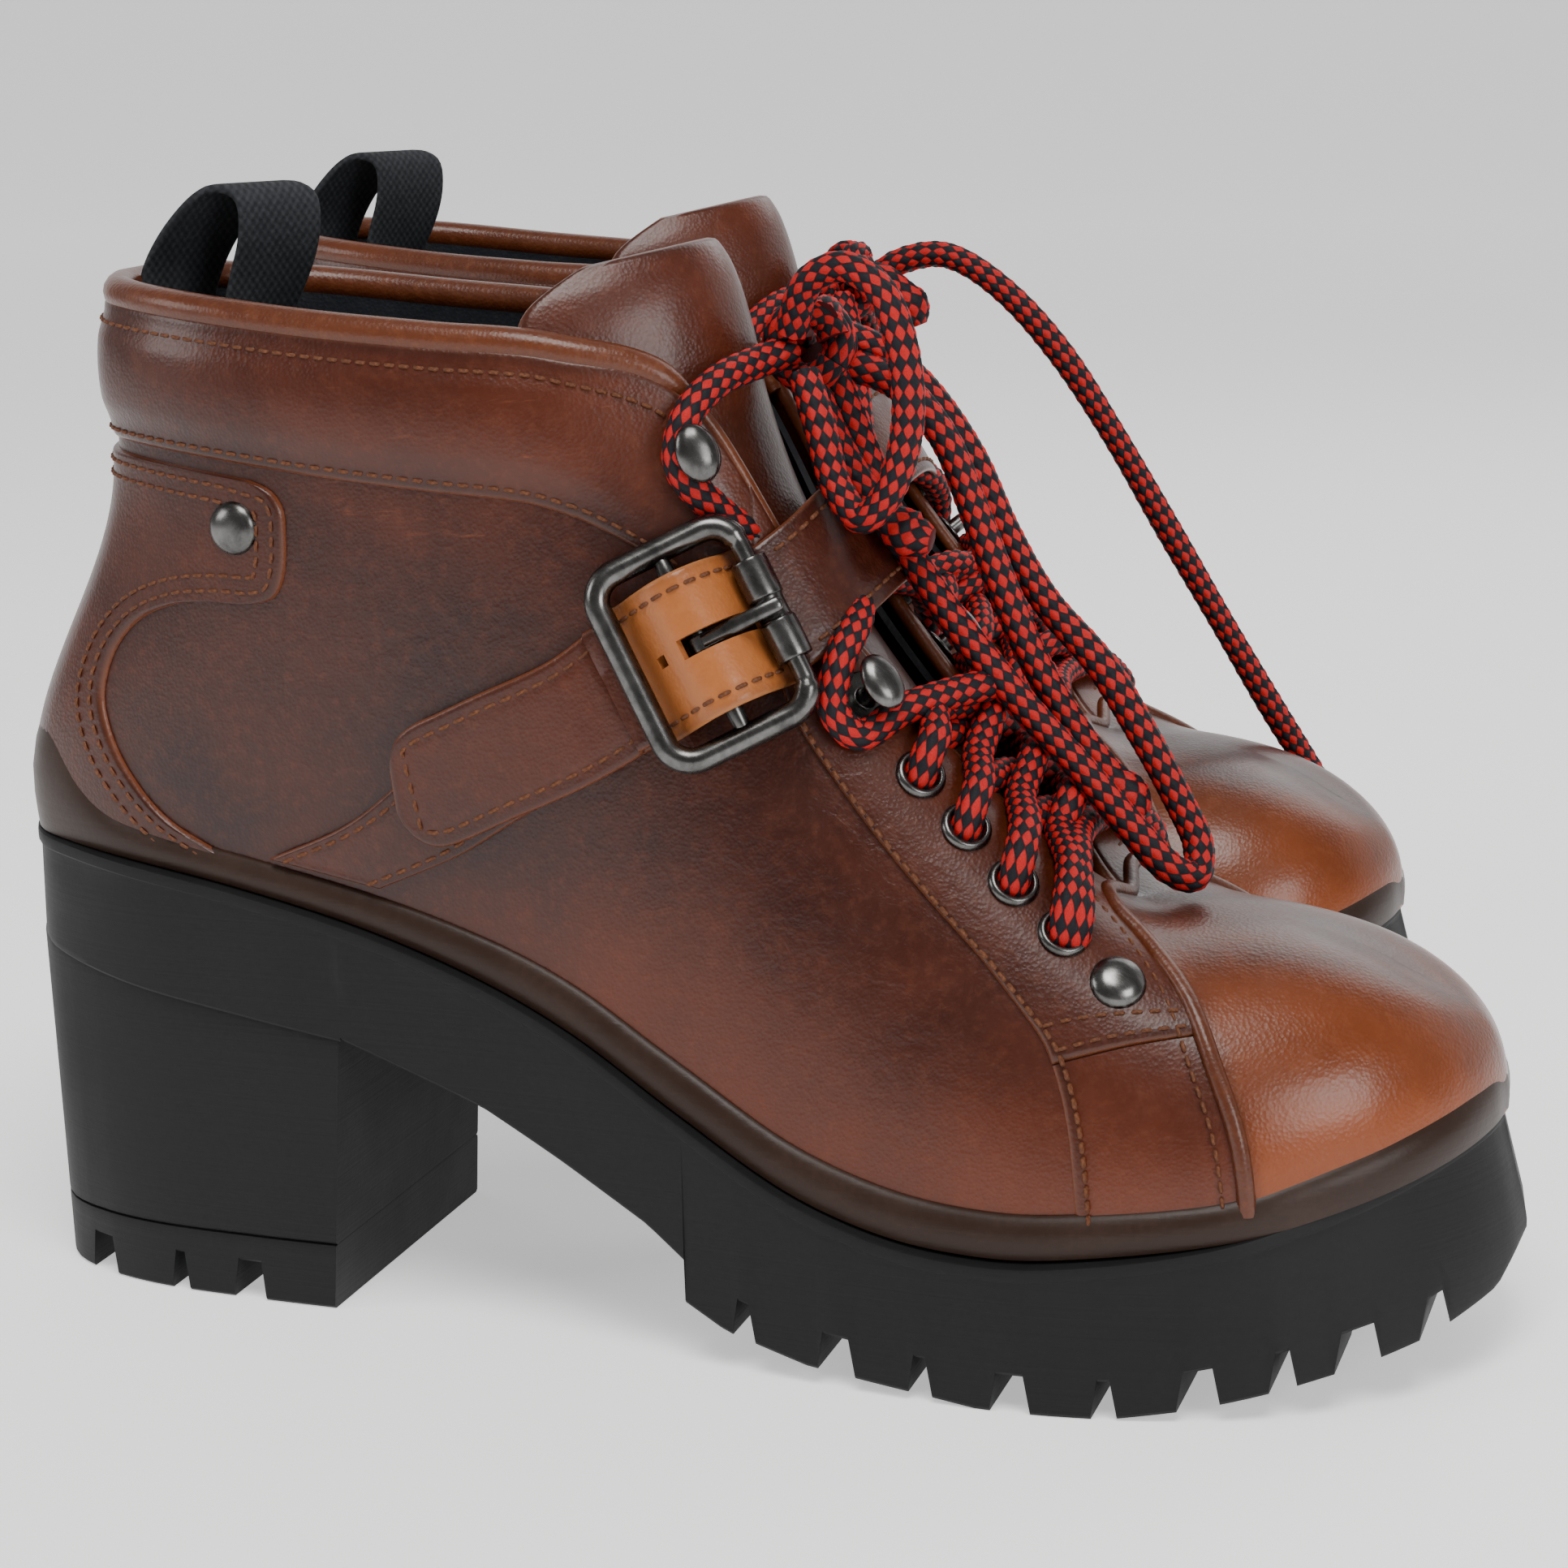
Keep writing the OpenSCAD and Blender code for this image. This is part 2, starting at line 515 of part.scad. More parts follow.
prong_w = 3; // width of the prong
module buckle_prong() {
    tip_x = bar_gap / 2 + 2.2;
    rest = roller_d / 2 - 0.5 + 0.25;
    color(METAL) on_buckle() rotate([90, 0, 0]) difference() {
        union() {
            cylinder(h = prong_w, r = 3.1, center = true);
            linear_extrude(height = prong_w, center = true)
                polygon([[0, 1.9], [bar_gap / 2 - 3, rest], [tip_x, rest], [tip_x + 0.6, rest + 0.6],
                         [tip_x - 0.4, rest + 1.7], [bar_gap / 2 - 4, rest + 1.9], [0, 3.1]]);
        }
        cylinder(h = prong_w + 1, r = middle_bar_d / 2 + 0.06, center = true);
    }
}

// ---- Eyelets, hooks and studs ----

EYELETS = [[0.682, 0.63], [0.655, 0.70], [0.628, 0.76], [0.601, 0.80]];
HOOKS = [[0.566, 0.86], [0.456, 0.90]];
STUDS = [[0.708, 0.545], [0.163, 0.637]];

module eyelets() {
    color(METAL) for (s = [-1, 1]) for (e = EYELETS) on_wall(s, e[0], e[1], overlay_t + 0.5)
        rotate_extrude() polygon([[2.9, 0.1], [3.5, 0], [eyelet_d / 2, 0], [eyelet_d / 2 - 0.2, 0.6],
                                  [3.9, 1.1], [3.2, 1.0], [2.9, 0.6]]);
}

module lace_hooks() {
    r = hook_d / 2;
    color(METAL) for (s = [-1, 1]) for (e = HOOKS) on_wall(s, e[0], e[1], overlay_t + 0.6)
        rotate_extrude() polygon([[0, 0], [5, 0], [4.8, 0.6], [1.8, 1.0], [1.6, 7.4], [r - 0.3, 7.6],
                                  [r, 8.0], [r * 0.8, 9.2], [r * 0.4, 10.1], [0, 10.4]]);
}

module studs() {
    r = stud_d / 2;
    color(METAL) for (s = [-1, 1]) for (e = STUDS) on_wall(s, e[0], e[1], overlay_t + 0.6)
        rotate_extrude() polygon([[0, 0], [r, 0], [r, 0.5], [r * 0.86, 1.4], [r * 0.6, 2.5],
                                  [r * 0.3, 3.1], [0, 3.3]]);
}

// ---- Laces ----

// A round cord along a route, as one solid; a knot at its end makes the last rings fatter
module cord(route, d = lace_d, sides = 8, knot = false) {
    n = len(route) - 1;
    function dir(i) = unit(route[min(i + 1, n)] - route[max(i - 1, 0)]);
    function frame_x(i) = unit(cross(dir(i), abs(dir(i)[1]) > 0.9 ? [1, 0, 0] : [0, 1, 0]));
    function girth(i) = knot && i >= n - 1 ? 1.45 : 1;
    function ring(i) =
        let (x = frame_x(i), y = cross(dir(i), x), r = d / 2 * girth(i))
        [for (a = [0:sides - 1]) route[i] + r * (x * cos(360 * a / sides) + y * sin(360 * a / sides))];
    pts = [for (i = [0:n]) each ring(i)];
    faces = concat(
        [[for (a = [0:sides - 1]) a]],
        [for (i = [0:n - 1]) for (a = [0:sides - 1])
            let (b = (a + 1) % sides, p = i * sides, q = p + sides)
            each [[p + b, p + a, q + a], [p + b, q + a, q + b]]],
        [[for (a = [sides - 1:-1:0]) n * sides + a]]);
    polyhedron(points = pts, faces = faces);
}

// The crossing stretches over the throat: from and to [side, u, v], and height of the middle
function crossing(from, to, rise) =
    let (a = over_wall(from[0], from[1], from[2], overlay_t + 5),
         b = over_wall(to[0], to[1], to[2], overlay_t + 5),
         up = unit([0.75, 0, 0.66]))
    [for (t = [0:0.2:1]) a + (b - a) * t + up * (rise * sin(180 * t))];
LACE_HOLES = concat(EYELETS, HOOKS);

module lace() {
    color(LACE_RED) {
        cord(crossing(concat([-1], EYELETS[0]), concat([1], EYELETS[0]), 3));
        for (k = [0:3]) for (s = [-1, 1])
            cord(crossing(concat([s], LACE_HOLES[k]), concat([-s], LACE_HOLES[k + 1]),
                          s < 0 ? 8 : 1));
        for (s = [-1, 1]) cord([for (p = HOOK_RUN) [p[0], s * p[1], p[2]]]);
        translate(KNOT_AT) scale([1, 1.3, 1.3]) sphere(r = 7, $fn = 12);
    }
}
// From the lower hook under the strap to the upper hook, and round it to the knot
HOOK_RUN = [[172, 19, 113], [168, 16, 121], [161, 12, 131], [154, 12, 141], [149, 19, 147],
            [146, 26, 151], [144, 30, 156], [145, 24, 163], [149, 12, 168], [152, 4, 169]];
KNOT_AT = [153, -1, 169];

// Routes of the free laces, on the right boot
LOOP_SHORT = [[153, -6, 172], [157, -9, 180], [164, -11, 183], [171, -13, 179], [175, -15, 170],
              [176, -16, 158], [173, -17, 147], [168, -17, 142], [163, -15, 147],
              [160, -13, 156], [156, -9, 165]];
LOOP_LONG = [[157, 0, 167], [163, 0, 152], [169, -1, 138], [178, -2, 124], [189, -3, 111],
             [201, -3, 98], [211, -2, 86], [217, 0, 79], [219, 5, 80], [217, 7, 88],
             [210, 8, 101], [202, 10, 113], [192, 11, 124], [185, 11, 136], [179, 11, 149],
             [171, 10, 161], [163, 8, 168], [157, 4, 171]];
TAIL_LONG = [[158, 4, 166], [168, 5, 162], [176, 5, 153], [181, 5, 141], [186, 4, 128],
             [192, 4, 114], [200, 4, 101], [207, 4, 92], [210, 4, 88]];
TAIL_SHORT = [[156, -4, 162], [161, -6, 152], [167, -7, 143], [173, -7, 138], [177, -7, 137]];
// Routes of the free laces, on the left boot, drawn as for a right boot
LEFT_TAIL_LONG = [[158, -3, 168], [166, -4, 173], [176, -4, 174], [188, -3, 167], [199, -6, 154],
                  [209, -10, 137], [220, -14, 116], [231, -18, 95], [241, -22, 76],
                  [251, -30, 56], [259, -36, 38], [264, -42, 20], [267, -50, 8], [268, -62, 4],
                  [262, -74, 3.9], [252, -80, 4.1]];
LEFT_TAIL_SHORT = [[158, 3, 170], [164, 3, 170], [169, 3, 165], [171, 3, 160]];
LEFT_LOOP_FRONT = [[156, -4, 168], [161, -9, 163], [163, -13, 155], [162, -18, 149],
                   [158, -23, 147], [154, -24, 151], [153, -20, 158], [153, -12, 165]];
LEFT_LOOP_BACK = [[156, 7, 166], [160, 14, 158], [163, 21, 149], [166, 28, 138], [168, 33, 126],
                  [170, 38, 114], [164, 40, 110], [160, 38, 119], [157, 34, 131],
                  [155, 29, 143], [152, 20, 155], [150, 11, 165]];

// ---- Placing the pair ----

mid_x = (STATIONS[LAST][1] + STATIONS[0][1] - stagger) / 2;
module right_boot() {
    translate([-mid_x, -boot_gap / 2, 0]) children();
}
module left_boot() {
    translate([-mid_x - stagger, boot_gap / 2, 0]) mirror([0, 1, 0]) children();
}

module piece(name) {
    if (name == "outsole") outsole();
    if (name == "heel_block") heel_block();
    if (name == "heel_lift") heel_lift();
    if (name == "rand") rand();
    if (name == "insole_board") insole_board();
    if (name == "footbed") footbed();
    if (name == "heel_counter") heel_counter();
    if (name == "toe_puff") toe_puff();
    if (name == "toe_cap") toe_cap();
    if (name == "vamp") vamp();
    if (name == "eyestays") eyestays();
    if (name == "quarters") quarters();
    if (name == "collar") collar();
    if (name == "counter_panel") counter_panel();
    if (name == "tongue") tongue();
    if (name == "lining") lining();
    if (name == "base_strap") base_strap();
    if (name == "billet_strap") billet_strap();
    if (name == "buckle_frame") buckle_frame();
    if (name == "buckle_roller") buckle_roller();
    if (name == "buckle_prong") buckle_prong();
    if (name == "eyelets") eyelets();
    if (name == "lace_hooks") lace_hooks();
    if (name == "studs") studs();
    if (name == "pull_loop") pull_loop();
    if (name == "lace") lace();
}
module free_lace(name) {
    color(LACE_RED) {
        if (name == "right_loop_short") cord(LOOP_SHORT);
        if (name == "right_loop_long") cord(LOOP_LONG);
        if (name == "right_tail_long") cord(TAIL_LONG, knot = true);
        if (name == "right_tail_short") cord(TAIL_SHORT, knot = true);
        if (name == "left_loop_front") cord(LEFT_LOOP_FRONT);
        if (name == "left_loop_back") cord(LEFT_LOOP_BACK);
        if (name == "left_tail_long") cord(LEFT_TAIL_LONG, knot = true);
        if (name == "left_tail_short") cord(LEFT_TAIL_SHORT, knot = true);
    }
}

for (name = BOOT) {
    right_boot() piece(name);
    left_boot() piece(name);
}
for (name = RIGHT_CORDS) right_boot() free_lace(name);
for (name = LEFT_CORDS) left_boot() free_lace(name);
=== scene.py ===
"""Looks of a pair of heeled leather hiking boots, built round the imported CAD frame.

Lengths in this file are millimetres in one boot's own space: X runs to the toes, Y towards
the inner side of the right boot and Z up. Placing turns them into the frame's metres, and
mirrors them for the left boot.
"""
from __future__ import annotations

import logging
import math
from dataclasses import dataclass, field
from enum import Enum
from typing import Any, Callable, Sequence

import bmesh
import bpy
import numpy as np
from mathutils import Matrix, Vector


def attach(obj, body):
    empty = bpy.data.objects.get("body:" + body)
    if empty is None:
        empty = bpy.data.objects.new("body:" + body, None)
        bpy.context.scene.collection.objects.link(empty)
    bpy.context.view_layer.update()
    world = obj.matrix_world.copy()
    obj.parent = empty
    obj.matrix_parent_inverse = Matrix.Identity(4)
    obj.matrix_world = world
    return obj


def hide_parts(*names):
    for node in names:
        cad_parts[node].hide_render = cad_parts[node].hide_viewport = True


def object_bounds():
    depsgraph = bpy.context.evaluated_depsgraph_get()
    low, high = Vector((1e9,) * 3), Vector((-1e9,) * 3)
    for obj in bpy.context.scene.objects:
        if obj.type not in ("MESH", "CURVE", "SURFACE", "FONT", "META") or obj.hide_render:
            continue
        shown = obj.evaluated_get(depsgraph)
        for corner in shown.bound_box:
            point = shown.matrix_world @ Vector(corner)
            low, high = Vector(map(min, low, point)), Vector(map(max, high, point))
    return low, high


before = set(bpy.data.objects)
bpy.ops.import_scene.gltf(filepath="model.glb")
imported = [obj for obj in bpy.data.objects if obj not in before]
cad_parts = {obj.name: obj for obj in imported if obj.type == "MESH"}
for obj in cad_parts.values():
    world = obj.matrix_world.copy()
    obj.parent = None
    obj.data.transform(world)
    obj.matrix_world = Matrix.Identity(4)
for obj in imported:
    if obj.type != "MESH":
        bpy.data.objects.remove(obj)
CAD_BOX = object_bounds()

logging.basicConfig(level=logging.INFO, format="%(message)s")
LOG = logging.getLogger("boots")

Array = np.ndarray
MM = 0.001
# Metres within which points are one, and below which an edge has no length
MERGE_WITHIN, NO_LENGTH = 2e-6, 1e-7
MID_X, HALF_GAP, STAGGER = 119.75, 67.5, 36.0
OUTER, INNER = -1.0, 1.0


# ---- curves and grids

def ease(t: Array | float) -> Array:
    """Smooth step from 0 to 1: three t squared minus two t cubed."""
    c = np.clip(t, 0.0, 1.0)
    return c * c * (3.0 - 2.0 * c)


def rows_at(table: Array, s: Array | float) -> Array:
    """Rows of a table at s, on a smooth curve through its rows.

    Each stretch is a cubic whose end slopes are those of the chords between the rows on
    either side, so curves join smoothly though the rows are unevenly spaced.

    Args:
        table: Rows whose first column is the knot.
        s: Where to read it.

    Returns:
        One row for each value of s.
    """
    s = np.asarray(s, float)
    knots = table[:, 0]
    k = np.clip(np.searchsorted(knots, s, side="left") - 1, 0, len(knots) - 2)
    after = np.minimum(np.arange(len(knots)) + 1, len(knots) - 1)
    before = np.maximum(np.arange(len(knots)) - 1, 0)
    slope = (table[after] - table[before]) / (knots[after] - knots[before])[:, None]
    h = (knots[k + 1] - knots[k])[..., None]
    t = (s - knots[k])[..., None] / h
    return (table[k] * (2 * t**3 - 3 * t**2 + 1) + slope[k] * h * (t**3 - 2 * t**2 + t)
            + table[k + 1] * (3 * t**2 - 2 * t**3) + slope[k + 1] * h * (t**3 - t**2))


def unit(v: Array) -> Array:
    """Vectors brought to length one."""
    return v / np.maximum(np.linalg.norm(v, axis=-1, keepdims=True), 1e-9)


def distance(points: Array) -> Array:
    """Running distance along a line of points, from 0 at its first."""
    return np.concatenate([[0.0], np.cumsum(np.linalg.norm(np.diff(points, axis=0), axis=1))])


def flow(points: Sequence[Sequence[float]] | Array, step: float) -> Array:
    """A smooth line through points, cut into even steps along its length.

    The line is a cubic through the points with their running distance as the knot.

    Args:
        points: The points to pass through.
        step: Length of a step.

    Returns:
        Points on the line, evenly spaced.
    """
    p = np.asarray(points, float)
    run = distance(p)
    fine = rows_at(np.column_stack([run, p]), np.linspace(0.0, run[-1], max(8 * len(p), 60)))[:, 1:]
    length = distance(fine)
    n = max(int(round(length[-1] / step)) + 1, 3)
    where = np.linspace(0.0, length[-1], n)
    return np.column_stack([np.interp(where, length, fine[:, c]) for c in range(p.shape[1])])


def edge_steps(length: float, count: int, rim: float = 1.6) -> Array:
    """Shares from 0 to 1, close together within a rim of both ends, for rounded edges.

    Args:
        length: Length that the shares run over.
        count: Number of even steps between the rims.
        rim: Width of the rim at each end.

    Returns:
        The shares, in order.
    """
    near = np.array([0.0, 0.08, 0.28, 0.6, 1.0]) * rim / length
    inside = np.linspace(1.5 * rim / length, 1.0 - 1.5 * rim / length, count)
    return np.concatenate([near, inside, 1.0 - near[::-1]])


def both_ways(length: float, count: int) -> Array:
    """Shares from -1 to 1 as a column: edge_steps from the middle to both ends."""
    steps = edge_steps(length, count)
    return np.concatenate([-steps[::-1], steps[1:]])[:, None]


@dataclass(frozen=True)
class Skin:
    """A surface worked out as arrays: points, faces and what varies over it."""

    points: Array
    faces: list[Array]
    uv: list[Array] = field(default_factory=list)
    wear: Array | None = None

    def worn(self, edge: float, tone: float, crease: float) -> "Skin":
        """The same surface with one value of each kind of wear all over."""
        return Skin(self.points, self.faces, wear=np.tile([edge, tone, crease], (len(self.points), 1)))


def grid_quads(rows: int, cols: int, wrap_rows: bool = False,
               wrap_cols: bool = False) -> tuple[Array, Array]:
    """Faces of a grid of points, and the grid places of their corners.

    Args:
        rows: Number of rows of points.
        cols: Number of points in a row.
        wrap_rows: Whether the last row joins the first.
        wrap_cols: Whether each row closes on itself.

    Returns:
        Quads as point numbers, and for each corner its row and column before wrapping.
    """
    i, j = np.meshgrid(np.arange(rows if wrap_rows else rows - 1),
                       np.arange(cols if wrap_cols else cols - 1), indexing="ij")
    i, j = i.ravel(), j.ravel()
    place = np.stack([np.stack([i, j], -1), np.stack([i + 1, j], -1),
                      np.stack([i + 1, j + 1], -1), np.stack([i, j + 1], -1)], 1)
    quads = (place[..., 0] % rows) * cols + place[..., 1] % cols
    return quads, place


def closed_sheet(outer: Array, inner: Array, wear: Array | None = None) -> Skin:
    """A solid between two equal grids: both faces and a strip of quads round the rim.

    Args:
        outer: Outer points, rows by columns by three.
        inner: Inner points in the same order.
        wear: Values over the outer points, kept for both faces.

    Returns:
        The closed surface.
    """
    rows, cols = outer.shape[:2]
    count = rows * cols
    quads, _ = grid_quads(rows, cols)
    ids = np.arange(count).reshape(rows, cols)
    rim = np.concatenate([ids[0, :], ids[1:, -1], ids[-1, -2::-1], ids[-2::-1, 0]])
    side = np.stack([rim[:-1], rim[1:], rim[1:] + count, rim[:-1] + count], -1)
    points = np.concatenate([outer.reshape(-1, 3), inner.reshape(-1, 3)])
    if wear is not None:
        wear = np.concatenate([wear.reshape(count, -1)] * 2)
    return Skin(points, [np.concatenate([quads, quads[:, ::-1] + count, side])], wear=wear)


def joined(skins: Sequence[Skin]) -> Skin:
    """Several surfaces as one, in order.

    Args:
        skins: The surfaces.

    Returns:
        One surface, with UV and wear where all of them have it.
    """
    start = np.cumsum([0] + [len(s.points) for s in skins])
    sizes = sorted({f.shape[1] for s in skins for f in s.faces})
    faces, uv = [], []
    for size in sizes:
        part = [(f + start[n], s.uv[m] if s.uv else None)
                for n, s in enumerate(skins) for m, f in enumerate(s.faces) if f.shape[1] == size]
        faces.append(np.concatenate([p[0] for p in part]))
        if all(s.uv for s in skins):
            uv.append(np.concatenate([p[1] for p in part]))
    wear = None
    if all(s.wear is not None for s in skins):
        wear = np.concatenate([s.wear for s in skins])
    return Skin(np.concatenate([s.points for s in skins]), faces, uv, wear)


def frames_along(path: Array) -> tuple[Array, Array, Array]:
    """Directions along a path and two across it, carried along without twisting.

    Each step turns the last cross direction by removing what lies along the new direction.

    Args:
        path: Points of the path.

    Returns:
        The directions along, and two across.
    """
    along = unit(np.gradient(path, axis=0))
    start = np.array([0.0, 0.0, 1.0]) if abs(along[0, 2]) < 0.9 else np.array([1.0, 0.0, 0.0])
    across = np.empty_like(path)
    last = start
    for i, t in enumerate(along):
        last = last - t * float(last @ t)
        last = last / np.linalg.norm(last)
        across[i] = last
    return along, across, np.cross(along, across)


def tube(path: Array, radius: Array | float, sides: int) -> Skin:
    """A round tube along a path with flat ends, its UV in turns round and millimetres along.

    Args:
        path: Centre points.
        radius: Radius at each point, or for each point and side.
        sides: Points in a ring.

    Returns:
        The closed tube.
    """
    n = len(path)
    _, a, b = frames_along(path)
    angle = 2 * np.pi * np.arange(sides)[None, :] / sides
    radius = np.asarray(radius, float)
    r = np.broadcast_to(radius[:, None] if radius.ndim == 1 else radius, (n, sides))
    ring = (np.cos(angle)[..., None] * a[:, None] + np.sin(angle)[..., None] * b[:, None])
    points = path[:, None] + ring * r[..., None]
    quads, place = grid_quads(n, sides, wrap_cols=True)
    run = distance(path)
    uv = np.stack([place[..., 1] / sides, run[place[..., 0]]], -1)
    caps = np.stack([np.arange(sides), (n - 1) * sides + np.arange(sides)[::-1]])
    cap_uv = np.zeros((2, sides, 2))
    return Skin(points.reshape(-1, 3), [quads[:, ::-1], caps], [uv[:, ::-1], cap_uv])


def revolved(profile: Array, sides: int, centre: Array, axis: Array) -> Skin:
    """A profile of radius and height turned about an axis, as a closed surface.

    Args:
        profile: Radius and height, from the foot up and back to the axis or the start.
        sides: Points round.
        centre: Where height zero lies on the axis.
        axis: Direction of the axis.

    Returns:
        The turned surface; where a profile end is on the axis, its points lie together.
    """
    axis = unit(np.asarray(axis, float))
    a = unit(np.cross(axis, [0.3, 0.2, 0.9]))
    b = np.cross(axis, a)
    angle = 2 * np.pi * np.arange(sides) / sides
    ring = np.cos(angle)[:, None] * a + np.sin(angle)[:, None] * b
    points = centre + profile[:, None, :1] * ring[None] + profile[:, None, 1:] * axis
    closed = profile[0, 0] > 0 and profile[-1, 0] > 0
    quads, _ = grid_quads(len(profile), sides, wrap_rows=closed, wrap_cols=True)
    return Skin(points.reshape(-1, 3), [quads])


def rounded(corners: Sequence[Sequence[float]], n: int = 6) -> Array:
    """A profile with its corners cut round: quadratic curves near each corner.

    Args:
        corners: Points of the profile.
        n: Points on each curve.

    Returns:
        The rounded profile, with the same ends.
    """
    p = np.asarray(corners, float)
    out = [p[:1]]
    t = np.linspace(0, 1, n)[:, None]
    for k in range(1, len(p) - 1):
        a = p[k] + (p[k - 1] - p[k]) * 0.45
        b = p[k] + (p[k + 1] - p[k]) * 0.45
        out.append(a * (1 - t)**2 + p[k] * 2 * t * (1 - t) + b * t**2)
    out.append(p[-1:])
    return np.concatenate(out)


def stitches(path: Array, normal: Array, pitch: float = 3.0, length: float = 2.3,
             radius: float = 0.34) -> Skin:
    """A row of stitches: short thread humps whose two ends sink into the leather.

    Args:
        path: Points of the seam, on the leather's surface.
        normal: Directions out of the leather at those points.
        pitch: Distance from one stitch to the next.
        length: Length of one stitch.
        radius: Radius of the thread.

    Returns:
        All the stitches as one surface.
    """
    run = distance(path)
    count = max(int(run[-1] / pitch), 1)
    middle = (np.arange(count) + 0.5) * run[-1] / count
    where = middle[:, None] + np.array([-0.5, -0.36, 0.0, 0.36, 0.5]) * length
    centre, up = (np.stack([np.interp(where, run, values[:, c]) for c in range(3)], -1)
                  for values in (path, normal))
    up = unit(up)
    along = unit(np.gradient(centre, axis=1))
    across = np.cross(along, up)
    lift = np.array([-0.55, 0.3, 0.62, 0.3, -0.55]) * radius
    fat = np.array([0.5, 0.95, 1.0, 0.95, 0.5]) * radius
    angle = 2 * np.pi * np.arange(6) / 6
    points = (centre + up * lift[None, :, None])[:, :, None] + fat[None, :, None, None] * (
        np.cos(angle)[None, None, :, None] * across[:, :, None]
        + np.sin(angle)[None, None, :, None] * up[:, :, None])
    quads, _ = grid_quads(5, 6, wrap_cols=True)
    start = (np.arange(count) * 30)[:, None, None]
    caps = np.stack([np.arange(6), 24 + np.arange(6)[::-1]])
    return Skin(points.reshape(-1, 3),
                [(quads[None] + start).reshape(-1, 4), (caps[None] + start).reshape(-1, 6)])


def turned(about_x: float, about_y: float, about_z: float) -> Array:
    """The three axes of a part turned about X, then Y, then Z.

    The part's own axes are a along X, b along Y and n along Z before it is turned.

    Args:
        about_x: Degrees about X.
        about_y: Degrees about Y.
        about_z: Degrees about Z.

    Returns:
        The axes a, b and n, one in each row.
    """
    x, y, z = np.radians([about_x, about_y, about_z])
    rx = np.array([[1, 0, 0], [0, math.cos(x), -math.sin(x)], [0, math.sin(x), math.cos(x)]])
    ry = np.array([[math.cos(y), 0, math.sin(y)], [0, 1, 0], [-math.sin(y), 0, math.cos(y)]])
    rz = np.array([[math.cos(z), -math.sin(z), 0], [math.sin(z), math.cos(z), 0], [0, 0, 1]])
    return (rz @ ry @ rx).T


# ---- the last

